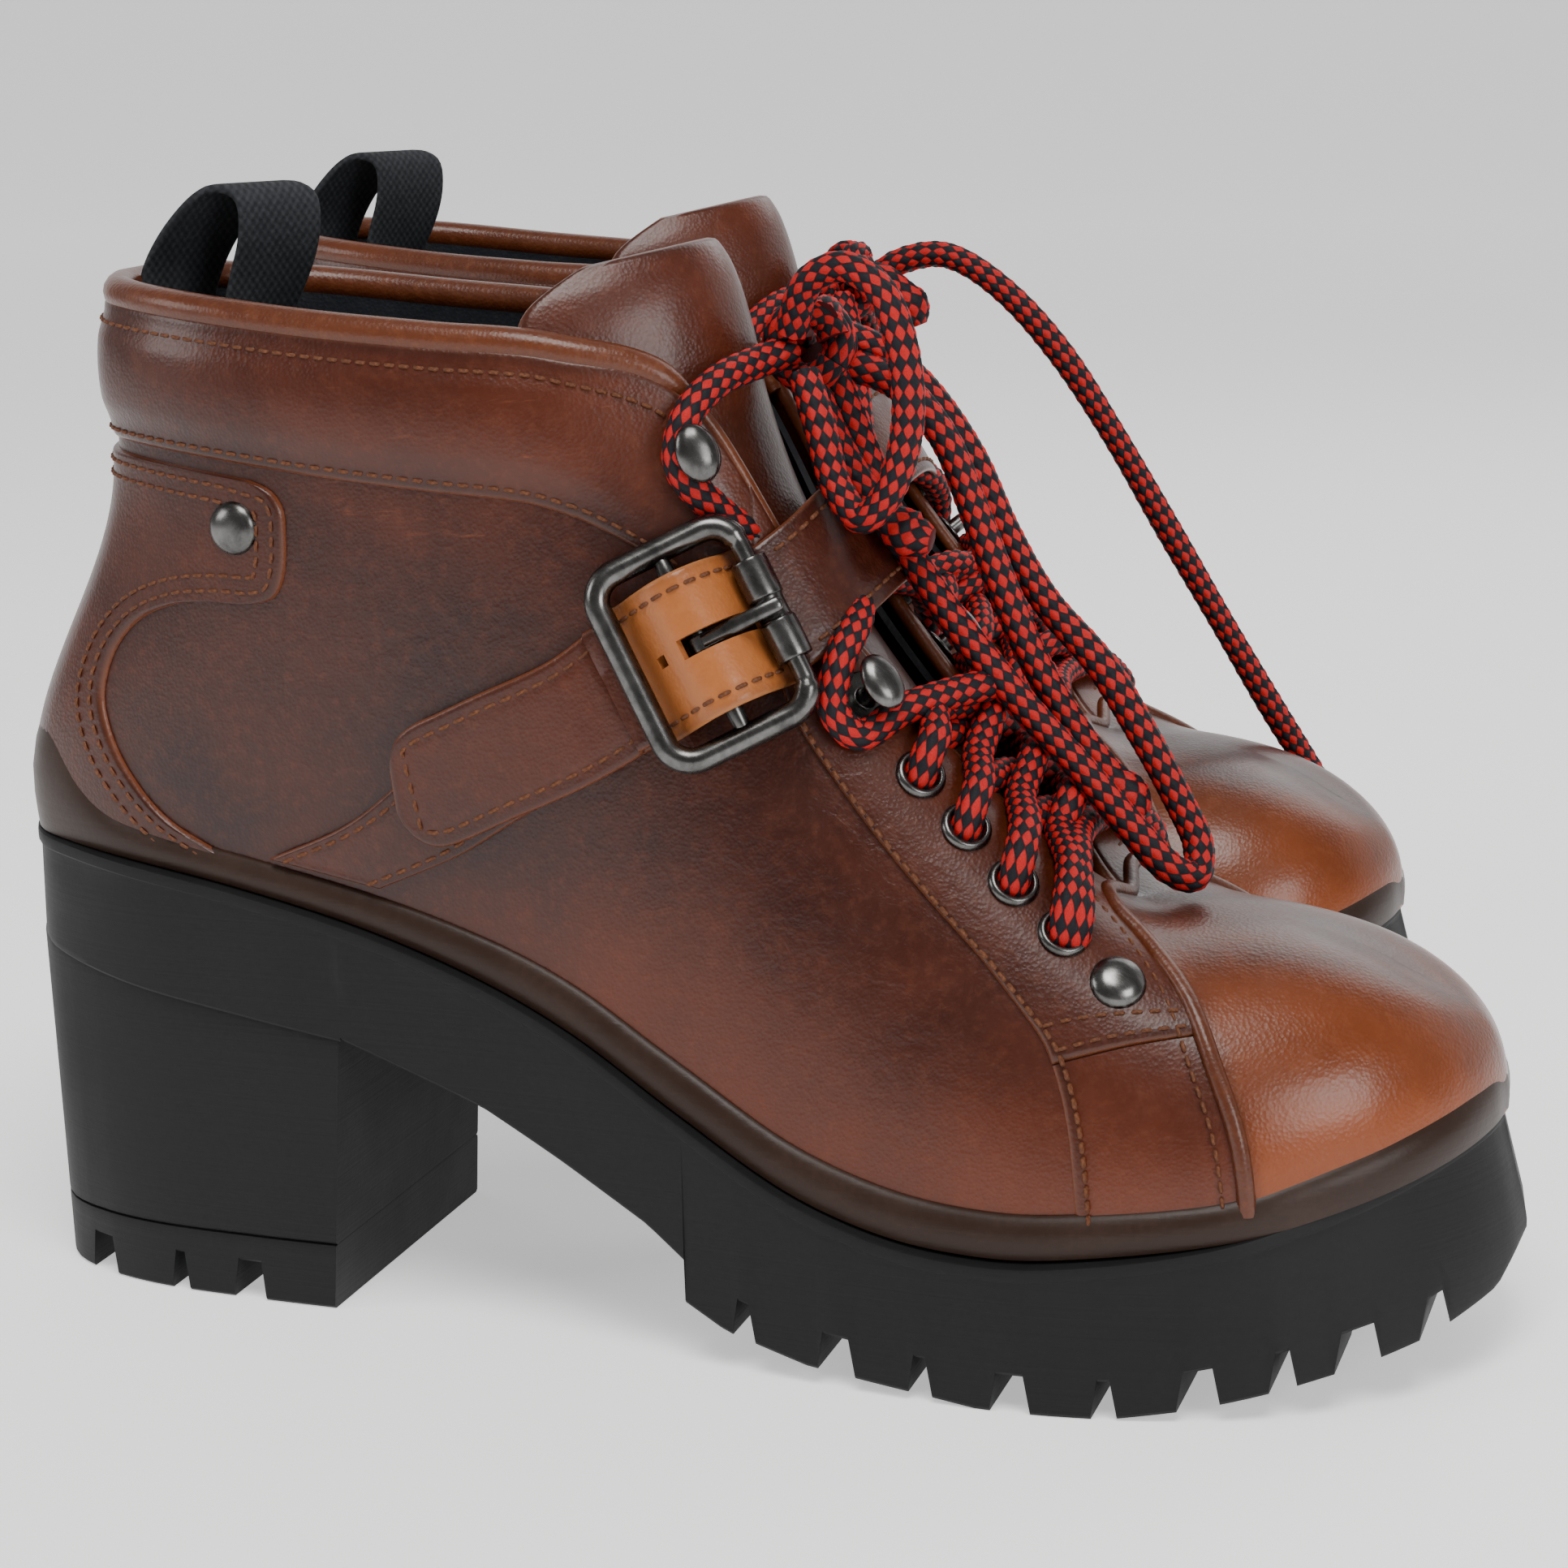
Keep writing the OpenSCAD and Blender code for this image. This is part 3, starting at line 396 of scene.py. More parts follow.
@dataclass(frozen=True)
class Last:
    """The smooth wall of the boot from the sole line up to the collar, throat and toe top.

    A point is found from its side, u from heel to toe and v from sole to top. The station
    row gives the sole line and the top line; the wall between them is a straight line
    blended with a dome, a quarter of a squared ellipse.
    """

    stations: Array = field(default_factory=lambda: np.array([
        [0, 3.5, 0, 0, 26, 0, 180, 0, 0, 0],
        [0.03, 5.5, 10, 10, 28, 11, 180, 0, 1, 0],
        [0.07, 13, 19.5, 19.5, 34.5, 21.5, 179.3, 0, 1.5, 0],
        [0.13, 31, 26.5, 26.5, 52, 30, 177.5, 0, 2, 0],
        [0.21, 57, 29.5, 28.5, 76, 33, 174.8, 0, 2, 0],
        [0.29, 85, 31, 28, 98, 33, 172.8, 0.05, 2, 0],
        [0.37, 112, 33.5, 29, 120, 30, 170.5, 0.15, 2, 0],
        [0.45, 137, 37.5, 31.5, 139.5, 21.5, 162.5, 0.3, 1.5, 0],
        [0.53, 161, 41.5, 36, 158.5, 17, 130.5, 0.5, 1, 0],
        [0.6, 184, 44.5, 40, 175.5, 13.5, 108, 0.65, 0.5, 0],
        [0.67, 206, 45.5, 42.5, 193.5, 10.5, 89, 0.8, 0, 0],
        [0.745, 232, 41.5, 42.5, 208, 0, 75, 1, 0, 0],
        [0.81, 247, 34.5, 39, 222, 0, 73.5, 1, 0, 0],
        [0.87, 258.5, 25.5, 32, 236, 0, 71.5, 1, 0, 0],
        [0.92, 266, 15.5, 23, 247.5, 0, 68, 1, 0, 0.5],
        [0.965, 270.5, 5.5, 13, 255, 0, 64, 1, 0, 1.5],
        [1, 272, -3, 3, 260.5, 0, 61, 1, 0, 2.5]]))
    sole_line: Array = field(default_factory=lambda: np.array([
        [0, 83], [20, 82], [47, 78.5], [75, 72.5], [100, 64.5], [120, 55.5], [140, 43.5],
        [160, 32.5], [178, 27], [195, 25.5], [210, 26.5], [235, 30], [255, 35], [276, 42]], float))
    dome_power: float = 0.85
    crest: Array = field(default_factory=lambda: np.array([
        [0.745, 0.0], [0.78, -0.11], [0.84, -0.15], [0.895, -0.24], [0.94, -0.43], [0.98, -0.54],
        [1.0, -0.55]]))

    def low(self, x: Array | float) -> Array:
        """Height of the sole line at x."""
        return rows_at(self.sole_line, x)[..., 1]

    def wall(self, side: Array | float, u: Array, v: Array) -> Array:
        """Points of the wall.

        Args:
            side: -1 on the outer side and 1 on the inner one.
            u: Share of the way from heel to toe.
            v: Share of the way from the sole line to the top.

        Returns:
            Points, with one row of three for each.
        """
        u, v, side = np.broadcast_arrays(np.asarray(u, float), np.asarray(v, float),
                                         np.asarray(side, float))
        r = rows_at(self.stations, u)
        low = self.low(r[..., 1])
        dome = r[..., 7]
        inside = np.clip(v, 0.0, 1.0)
        rise = np.sin(np.pi / 2 * inside)**self.dome_power
        fall = np.where(inside >= 1, 0.0,
                        np.maximum(np.cos(np.pi / 2 * inside), 0.0)**self.dome_power)
        k = (1 - dome) * (1 - v) + dome * fall
        travel = (1 - dome) * v + dome * (1 - fall)
        back = 1 - ease((u - 0.1) / 0.35)
        top = np.maximum(r[..., 5], 0.0)
        half = top + (np.where(side < 0, r[..., 2], r[..., 3]) - top) * k + r[..., 8] * np.sin(np.pi * v)
        x = r[..., 1] + (r[..., 4] - r[..., 1]) * (back * ease((v - 0.07) / 0.64) + (1 - back) * travel)
        # Past the throat each line leaves the crest at the crest's own slope
        slope = np.interp(u, self.crest[:, 0], self.crest[:, 1])
        z = low + (r[..., 6] - low) * ((1 - dome) * v + dome * rise) + slope * (x - r[..., 4]) * inside**2
        return np.stack([x, side * half + r[..., 9] * (1 - k), z], -1)

    def normal(self, side: Array | float, u: Array, v: Array) -> Array:
        """Directions out of the wall: the cross product of small steps up it and along it.

        Args:
            side: -1 on the outer side and 1 on the inner one.
            u: Share of the way from heel to toe.
            v: Share of the way from the sole line to the top.

        Returns:
            Directions, with one row of three for each.
        """
        u, v, side = np.broadcast_arrays(np.asarray(u, float), np.asarray(v, float),
                                         np.asarray(side, float))
        step = 0.006
        lo = np.where(v > 0.5, v - step, v)
        up = self.wall(side, u, lo + step) - self.wall(side, u, lo)
        # Near the heel and the toe a step runs over the centre line onto the other side
        ends = []
        for w in (u + step, u - step):
            crossed = (w < 0) | (w > 1)
            folded = np.where(w < 0, -w, np.where(w > 1, 2 - w, w))
            ends.append(self.wall(np.where(crossed, -side, side), folded, v))
        return unit(side[..., None] * np.cross(up, ends[0] - ends[1]))

    def over(self, side: Array | float, u: Array, v: Array, height: Array | float) -> Array:
        """Points at a height over the wall."""
        return self.wall(side, u, v) + self.normal(side, u, v) * np.asarray(height)[..., None]


LAST = Last()


def uv_line(points: Sequence[Sequence[float]], n: int) -> Array:
    """A smooth line through given places u, v, evenly spaced on the wall.

    Args:
        points: The places.
        n: How many places to return.

    Returns:
        The line's places.
    """
    p = np.asarray(points, float)
    scale = np.array([280.0, 90.0])
    run = distance(p * scale)
    return rows_at(np.column_stack([run, p]), np.linspace(0, run[-1], n))[:, 1:]


def along_v(line: Sequence[Sequence[float]], v: Array) -> Array:
    """The u of a seam at each v, on a smooth line through its places v, u."""
    return rows_at(np.asarray(line, float), v)[..., 1]


# ---- finishes

class Wire:
    """A shader socket that takes part in sums: each operator adds a Math node."""

    def __init__(self, tree: "Shader", socket: Any) -> None:
        """Keeps the socket and the tree it belongs to."""
        self.tree, self.socket = tree, socket

    def _math(self, operation: str, *values: Any) -> "Wire":
        """One Math node on this socket and others."""
        return self.tree.node("ShaderNodeMath", {"operation": operation},
                              dict(enumerate(values)))

    def __add__(self, other: Any) -> "Wire":
        """Sum."""
        return self._math("ADD", self, other)

    __radd__ = __add__

    def __sub__(self, other: Any) -> "Wire":
        """Difference."""
        return self._math("SUBTRACT", self, other)

    def __rsub__(self, other: Any) -> "Wire":
        """Difference the other way round."""
        return self._math("SUBTRACT", other, self)

    def __mul__(self, other: Any) -> "Wire":
        """Product."""
        return self._math("MULTIPLY", self, other)

    __rmul__ = __mul__

    def __truediv__(self, other: Any) -> "Wire":
        """Quotient."""
        return self._math("DIVIDE", self, other)

    def clamp(self) -> "Wire":
        """The value held between 0 and 1."""
        return self._math("MINIMUM", self._math("MAXIMUM", self, 0.0), 1.0)

    def fade(self, low: float, high: float) -> "Wire":
        """0 below low, 1 above high and smooth between."""
        return self.tree.node("ShaderNodeMapRange", {"interpolation_type": "SMOOTHSTEP"},
                              {0: self, 1: low, 2: high, 3: 0.0, 4: 1.0})

    def sine(self) -> "Wire":
        """Sine of the value in radians."""
        return self._math("SINE", self, 0.0)

    def size(self) -> "Wire":
        """The value without its sign."""
        return self._math("ABSOLUTE", self, 0.0)

    def whole(self) -> "Wire":
        """The value without its fraction."""
        return self._math("FLOOR", self, 0.0)

    def modulo(self, by: float) -> "Wire":
        """What is left after dividing, never negative."""
        return self._math("FLOORED_MODULO", self, by)


class Shader:
    """One node material."""

    def __init__(self, name: str) -> None:
        """Makes an empty material with its Principled shader.

        Args:
            name: Name of the material.
        """
        self.material = bpy.data.materials.new(name)
        self.material.use_nodes = True
        self.tree = self.material.node_tree
        self.tree.nodes.clear()
        self.surface = self.tree.nodes.new("ShaderNodeBsdfPrincipled")
        end = self.tree.nodes.new("ShaderNodeOutputMaterial")
        self.tree.links.new(self.surface.outputs[0], end.inputs[0])

    def node(self, kind: str, settings: dict[str, Any] | None = None,
             sockets: dict[Any, Any] | None = None, out: Any = 0) -> Wire:
        """Any node.

        Args:
            kind: Its type.
            settings: Its own settings, set first.
            sockets: Values or wires for its inputs, by name or number.
            out: The output wanted.

        Returns:
            That output.
        """
        made = self.tree.nodes.new(kind)
        for key, value in (settings or {}).items():
            setattr(made, key, value)
        for key, value in (sockets or {}).items():
            if isinstance(value, Wire):
                self.tree.links.new(value.socket, made.inputs[key])
            else:
                made.inputs[key].default_value = value
        return Wire(self, made.outputs[out])

    def put(self, **values: Any) -> None:
        """Sets or links inputs of the Principled shader.

        Args:
            **values: Numbers, colours or wires by the input's name, with underscores for spaces.
        """
        for key, value in values.items():
            socket = self.surface.inputs[key.replace("_", " ")]
            if isinstance(value, Wire):
                self.tree.links.new(value.socket, socket)
            else:
                socket.default_value = value

    def place(self) -> Wire:
        """Object coordinates, in metres."""
        return self.node("ShaderNodeTexCoord", out="Object")

    def stretched(self, place: Wire, scale: Sequence[float], turn: Sequence[float] = (0, 0, 0)) -> Wire:
        """Coordinates scaled and turned, for patterns longer one way."""
        return self.node("ShaderNodeMapping", None, {"Vector": place, "Scale": tuple(scale),
                                                     "Rotation": tuple(turn)})

    def noise(self, place: Wire, scale: float, detail: float = 3.0, rough: float = 0.55,
              warp: float = 0.0) -> Wire:
        """Cloudy noise from 0 to 1."""
        return self.node("ShaderNodeTexNoise", None, {"Vector": place, "Scale": scale, "Detail": detail,
                                                      "Roughness": rough, "Distortion": warp})

    def cells(self, place: Wire, scale: float) -> Wire:
        """Distance from the cells' centres."""
        return self.node("ShaderNodeTexVoronoi", {"feature": "F1"}, {"Vector": place, "Scale": scale})

    def mix(self, share: Any, first: Any, second: Any) -> Wire:
        """Two colours mixed by share.

        Args:
            share: How much of the second.
            first: A colour or a wire.
            second: A colour or a wire.

        Returns:
            The mixed colour.
        """
        first, second = (c if isinstance(c, Wire) else (*c, 1.0) for c in (first, second))
        return self.node("ShaderNodeMix", {"data_type": "RGBA", "blend_type": "MIX"},
                         {0: share, 6: first, 7: second}, out=2)

    def bump(self, height: Any, depth: float) -> Wire:
        """A bumped normal, with depth in metres."""
        return self.node("ShaderNodeBump", None, {"Height": height, "Distance": depth, "Strength": 1.0})

    def split(self, source: Wire, kind: str) -> tuple[Wire, Wire, Wire]:
        """The three parts of a vector or a colour, by the type of the node that splits it."""
        node = self.node(kind, None, {0: source}).socket.node
        return Wire(self, node.outputs[0]), Wire(self, node.outputs[1]), Wire(self, node.outputs[2])

    def attribute(self, name: str) -> tuple[Wire, Wire, Wire]:
        """The three channels of a piece's own colour attribute."""
        source = self.node("ShaderNodeAttribute", {"attribute_name": name}, out="Color")
        return self.split(source, "ShaderNodeSeparateColor")


Colour = tuple[float, float, float]


@dataclass(frozen=True)
class Leather:
    """Pull-up leather: two tones, worn edges, fine grain, creases and light scratches."""

    name: str
    dark: Colour
    warm: Colour
    worn: Colour
    roughness: float = 0.37
    grain: float = 0.00010
    scratch: float = 0.5

    def material(self) -> bpy.types.Material:
        """The node material.

        The attribute "wear" holds the distance from the panel's edge, how warm the tone is
        and how creased the place is.

        Returns:
            The material.
        """
        s = Shader(self.name)
        place = s.place()
        edge, tone, crease = s.attribute("wear")
        cloud = s.noise(place, 26, 4, 0.6, 0.4)
        patch = s.noise(place, 90, 5, 0.65)
        fine = s.noise(place, 520, 3, 0.6)
        warmth = (tone + (cloud - 0.5) * 0.8 + (patch - 0.5) * 0.35).clamp()
        colour = s.mix(warmth, self.dark, self.warm)
        colour = s.mix((fine - 0.5).clamp() * 0.55, colour, self.worn)
        lines = s.noise(s.stretched(place, (70, 70, 420), (0.5, 0.3, 0.2)), 1.0, 4, 0.7, 0.6)
        scuff = (lines.fade(0.61, 0.72) * cloud.fade(0.5, 0.72) * self.scratch).clamp()
        colour = s.mix(scuff, colour, self.worn)
        rim = 1.0 - edge
        colour = s.mix((rim.fade(0.62, 1.0) * 0.55).clamp(), colour, self.worn)
        colour = s.mix((rim.fade(0.0, 0.8) * (1.0 - rim.fade(0.8, 1.0)) * 0.35), colour,
                       tuple(c * 0.45 for c in self.dark))
        pores = s.cells(place, 1500)
        wrinkle = s.noise(s.stretched(place, (150, 420, 150), (0.2, 0.4, 0.5)), 1.0, 4, 0.6, 1.2)
        height = pores * 0.6 + fine * 0.5 + wrinkle * crease * 3.2 + patch * 0.5
        rough = (self.roughness + (patch - 0.5) * 0.22 + scuff * 0.2 + (fine - 0.5) * 0.12).clamp()
        s.put(Base_Color=colour, Roughness=rough, Normal=s.bump(height, self.grain),
              Coat_Weight=0.22, Coat_Roughness=0.20, Specular_IOR_Level=0.30)
        return s.material


@dataclass(frozen=True)
class Rubber:
    """Moulded rubber with a dull bloom and fine moulding lines."""

    name: str
    colour: Colour
    bloom: Colour
    roughness: float = 0.6
    lines: float = 1400.0

    def material(self) -> bpy.types.Material:
        """The node material: moulding lines run level round the side.

        Returns:
            The material.
        """
        s = Shader(self.name)
        place = s.place()
        cloud = s.noise(place, 35, 5, 0.65)
        dust = s.noise(place, 900, 3, 0.7)
        level = s.noise(s.stretched(place, (12, 12, self.lines)), 1.0, 2, 0.6, 0.2)
        share = ((cloud - 0.45) * 1.2 + (dust - 0.5) * 0.6).clamp()
        s.put(Base_Color=s.mix(share, self.colour, self.bloom),
              Roughness=(self.roughness + (cloud - 0.5) * 0.3).clamp(),
              Normal=s.bump(level * 0.7 + dust * 0.5, 0.00008), Specular_IOR_Level=0.25)
        return s.material


@dataclass(frozen=True)
class AgedMetal:
    """Dark plated steel, rubbed bright in patches."""

    name: str = "aged_gunmetal"
    dark: Colour = (0.062, 0.060, 0.058)
    bright: Colour = (0.235, 0.230, 0.222)

    def material(self) -> bpy.types.Material:
        """The node material: rubbed patches, fine scratches and dull pits.

        Returns:
            The material.
        """
        s = Shader(self.name)
        place = s.place()
        cloud = s.noise(place, 240, 4, 0.6, 0.3)
        line = s.noise(s.stretched(place, (500, 3000, 500), (0.4, 0.2, 0.9)), 1.0, 3, 0.6)
        share = ((cloud - 0.30) * 1.5 + (line - 0.5) * 0.35).clamp()
        s.put(Base_Color=s.mix(share, self.dark, self.bright), Metallic=1.0,
              Roughness=(0.19 + (line - 0.4) * 0.16 + (1.0 - share) * 0.09).clamp(),
              Normal=s.bump(line + cloud * 0.4, 0.000004))
        return s.material


@dataclass(frozen=True)
class Braid:
    """Round braided lace: red and black strands in diamonds, from the tube's own UV."""

    name: str = "braided_lace"
    strands: int = 8
    pitch: float = 3.1
    red: Colour = (0.56, 0.010, 0.012)
    black: Colour = (0.006, 0.005, 0.008)

    def diamonds(self, turn: Array, run: Array) -> Array:
        """How far the strands stand out: a product of two sines, one for each lay.

        Args:
            turn: Turns round the lace.
            run: Millimetres along it.

        Returns:
            0 between strands and 1 at the middle of each.
        """
        p = self.strands * turn + run / self.pitch
        q = self.strands * turn - run / self.pitch
        return np.abs(np.sin(np.pi * p) * np.sin(np.pi * q))

    def material(self) -> bpy.types.Material:
        """The node material: cells of two crossing lays, red and black by turns.

        Returns:
            The material.
        """
        s = Shader(self.name)
        uv = s.node("ShaderNodeUVMap", {"uv_map": "weave"})
        turn, run, _ = s.split(uv, "ShaderNodeSeparateXYZ")
        p = turn * self.strands + run / self.pitch
        q = turn * self.strands - run / self.pitch
        parity = (p.whole() + q.whole()).modulo(2.0)
        body = ((p * math.pi).sine() * (q * math.pi).sine())
        rise = body.size()
        fibre = s.noise(s.stretched(uv, (90, 5.0, 1)), 1.0, 3, 0.6, 0.3)
        wobble = s.noise(s.place(), 260, 3, 0.6)
        red = s.mix(((fibre - 0.35) * 1.1).clamp(), tuple(c * 0.62 for c in self.red), (0.80, 0.035, 0.028))
        black = s.mix(((fibre - 0.4) * 0.9).clamp(), self.black, (0.03, 0.026, 0.033))
        colour = s.mix(parity, red, black)
        # Painted shade: the grooves between the strands are darkened to near black
        colour = s.mix((1.0 - rise.fade(0.0, 0.22)) * 0.85, colour, (0.006, 0.002, 0.003))
        s.put(Base_Color=colour, Roughness=(0.62 + (wobble - 0.5) * 0.3).clamp(),
              Normal=s.bump(rise * 0.5 + fibre * 0.35, 0.00022), Specular_IOR_Level=0.2)
        return s.material


@dataclass(frozen=True)
class Cloth:
    """Plain woven or knitted fabric, or thread, with a small weave over its colour."""

    name: str
    colour: Colour
    light: Colour
    weave: float = 1500.0
    roughness: float = 0.85
    depth: float = 0.00012

    def material(self) -> bpy.types.Material:
        """The node material: two crossing waves of threads broken up by noise.

        Returns:
            The material.
        """
        s = Shader(self.name)
        place = s.place()
        x, y, z = s.split(place, "ShaderNodeSeparateXYZ")
        fuzz = s.noise(place, 1100, 4, 0.7)
        cloud = s.noise(place, 60, 3, 0.6)
        rib = ((x + y) * self.weave * 2.0).sine() * (z * self.weave * 2.0).sine()
        share = ((rib * 0.22) + (fuzz - 0.35) + (cloud - 0.5) * 0.5).clamp()
        s.put(Base_Color=s.mix(share, self.colour, self.light), Roughness=self.roughness,
              Normal=s.bump(rib * 0.5 + fuzz, self.depth), Specular_IOR_Level=0.3)
        return s.material


class Finish(Enum):
    """The finishes of the boots."""

    BROWN = Leather("brown_pullup_leather", dark=(0.020, 0.0034, 0.0020), warm=(0.125, 0.024, 0.0066),
                    worn=(0.20, 0.055, 0.017))
    TOE = Leather("burnished_toe_leather", dark=(0.024, 0.0045, 0.0026), warm=(0.205, 0.045, 0.0088),
                  worn=(0.27, 0.08, 0.022), roughness=0.33)
    TAN = Leather("tan_strap_leather", dark=(0.24, 0.070, 0.017), warm=(0.42, 0.135, 0.034),
                  worn=(0.5, 0.2, 0.07), roughness=0.42)
    BINDING = Leather("folded_edge_leather", dark=(0.045, 0.010, 0.0042), warm=(0.17, 0.043, 0.012),
                      worn=(0.32, 0.105, 0.034), roughness=0.36)
    LINING = Leather("black_lining_leather", dark=(0.008, 0.009, 0.012), warm=(0.020, 0.022, 0.028),
                     worn=(0.05, 0.05, 0.055), roughness=0.5)
    INSOLE = Leather("insole_leather", dark=(0.045, 0.022, 0.014), warm=(0.085, 0.042, 0.026),
                     worn=(0.14, 0.08, 0.05), roughness=0.5)
    SOLE = Rubber("sole_rubber", colour=(0.0055, 0.0055, 0.006), bloom=(0.014, 0.014, 0.015))
    RAND = Rubber("rand_rubber", colour=(0.024, 0.0115, 0.0075), bloom=(0.055, 0.028, 0.019),
                  roughness=0.40, lines=700.0)
    METAL = AgedMetal()
    LACE = Braid()
    WEBBING = Cloth("pull_loop_webbing", colour=(0.010, 0.011, 0.014), light=(0.055, 0.058, 0.065))
    THREAD = Cloth("seam_thread", colour=(0.085, 0.026, 0.009), light=(0.22, 0.078, 0.028),
                   weave=2600.0, roughness=0.6, depth=0.00005)
    DARK_THREAD = Cloth("lining_thread", colour=(0.015, 0.015, 0.018), light=(0.05, 0.05, 0.055),
                        weave=2600.0, roughness=0.6, depth=0.00005)
    BOARD = Cloth("fibre_board", colour=(0.20, 0.15, 0.09), light=(0.33, 0.27, 0.17), weave=500.0)
    # Painted shade: a near-black finish for the discs that fill the eyelets' holes
    PAINTED_SHADE = Cloth("painted_shade_inside", colour=(0.004, 0.004, 0.005), light=(0.012, 0.012, 0.014), weave=600.0)


_MADE: dict[Finish, bpy.types.Material] = {}


def finish_of(kind: Finish) -> bpy.types.Material:
    """The material of a finish, made once.

    Args:
        kind: The finish.

    Returns:
        Its material.
    """
    if kind not in _MADE:
        _MADE[kind] = kind.value.material()
    return _MADE[kind]


# ---- making pieces

@dataclass(frozen=True)
class Boot:
    """One boot of the pair: its name, how far back it stands, and whether it is mirrored."""

    name: str
    back: float
    mirror: bool

    def metres(self, points: Array) -> Array:
        """Points of the boot's own space placed in the frame.

        Args:
            points: Points in millimetres.

        Returns:
            The points in metres, mirrored for the left boot.
        """
        out = np.array(points, float)
        out[..., 0] -= MID_X + self.back
        out[..., 1] = HALF_GAP - out[..., 1] if self.mirror else out[..., 1] - HALF_GAP
        return out * MM

    def make(self, name: str, skin: Skin, finish: Finish, slot: str, nodes: Sequence[str] = (),
             part: str = "boot", sharp: float = 50.0, fill: float | None = None) -> bpy.types.Object:
        """Puts a surface into the scene as a piece of this boot, its points merged and faces outwards.

        Args:
            name: Name of the piece, without the boot's name.
            skin: Its surface in millimetres.
            finish: Its finish.
            slot: The record's material slot; not used.
            nodes: CAD nodes it stands for, without the boot's name.
            part: The body it rides on, without the boot's name.
            sharp: Angle in degrees past which an edge stays sharp.
            fill: How full it is, where it is padded; not used.

        Returns:
            The new object.
        """
        mesh = bpy.data.meshes.new(f"{self.name}_{name}")
        points = self.metres(skin.points)
        faces = [f[:, ::-1] if self.mirror else f for f in skin.faces]
        mesh.vertices.add(len(points))
        mesh.vertices.foreach_set("co", points.ravel())
        sizes = np.concatenate([np.full(len(f), f.shape[1]) for f in faces])
        mesh.loops.add(int(sizes.sum()))
        mesh.loops.foreach_set("vertex_index", np.concatenate([f.ravel() for f in faces]))
        mesh.polygons.add(len(sizes))
        mesh.polygons.foreach_set("loop_start", np.concatenate([[0], np.cumsum(sizes)[:-1]]))
        mesh.update(calc_edges=True)
        mesh.polygons.foreach_set("use_smooth", np.ones(len(sizes), bool))
        if skin.uv:
            layer = mesh.uv_layers.new(name="weave")
            flat = [u[:, ::-1] if self.mirror else u for u in skin.uv]
            layer.data.foreach_set("uv", np.concatenate([u.reshape(-1, 2) for u in flat]).ravel())
        if skin.wear is not None:
            layer = mesh.color_attributes.new("wear", "FLOAT_COLOR", "POINT")
            layer.data.foreach_set("color", np.column_stack([skin.wear, np.ones(len(points))]).ravel())
        work = bmesh.new()
        work.from_mesh(mesh)
        bmesh.ops.remove_doubles(work, verts=work.verts, dist=MERGE_WITHIN)
        bmesh.ops.dissolve_degenerate(work, edges=work.edges, dist=NO_LENGTH)
        bmesh.ops.recalc_face_normals(work, faces=work.faces)
        work.to_mesh(mesh)
        work.free()
        mesh.validate()
        mesh.set_sharp_from_angle(angle=math.radians(sharp))
        piece = bpy.data.objects.new(f"{self.name}_{name}_look", mesh)
        bpy.context.scene.collection.objects.link(piece)
        mesh.materials.append(finish_of(finish))
        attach(piece, f"{self.name}_{part}")
        if nodes:
            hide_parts(*[f"{self.name}_{n}" for n in nodes])
        LOG.info("%s: %d faces", piece.name, len(mesh.polygons))
        return piece


def sheet_wear(side: Array, u: Array, v: Array, edge: Array, extra: float = 0.0) -> Array:
    """What varies over the leather: distance from the edge, warmth of tone and creasing.

    Args:
        side: Side of each point.
        u: Share from heel to toe.
        v: Share from sole to top.
        edge: 0 at the panel's edge and 1 well inside.
        extra: Added warmth.

    Returns:
        Three values for each point.
    """
    side, u, v, edge = np.broadcast_arrays(side, u, v, edge)
    tone = (0.16 + 0.16 * ease((u - 0.42) / 0.25) * (1 - 0.5 * v)
            + 0.46 * ease((0.32 - v) / 0.30) * ease((u - 0.25) / 0.2)
            + 0.14 * ease((v - 0.72) / 0.1) * ease((u - 0.25) / 0.2)
            + 0.12 * ease((v - 0.75) / 0.1) + extra)
    crease = (np.exp(-((u - 0.56) / 0.08)**2 - ((v - 0.42) / 0.28)**2)
              + 0.8 * np.exp(-((u - 0.30) / 0.10)**2 - ((v - 0.45) / 0.16)**2) + 0.12)
    return np.stack([edge, tone, crease], -1)


def run_from(points: Array, axis: int) -> tuple[Array, Array]:
    """Distances along one axis of a grid of points.

    Args:
        points: The grid.
        axis: The axis to follow.

    Returns:
        For each point, its distance from the start and to the end.
    """
    step = np.linalg.norm(np.diff(points, axis=axis), axis=-1)
    zero = np.zeros_like(np.take(step, [0], axis=axis))
    run = np.concatenate([zero, np.cumsum(step, axis=axis)], axis=axis)
    return run, np.take(run, [-1], axis=axis) - run


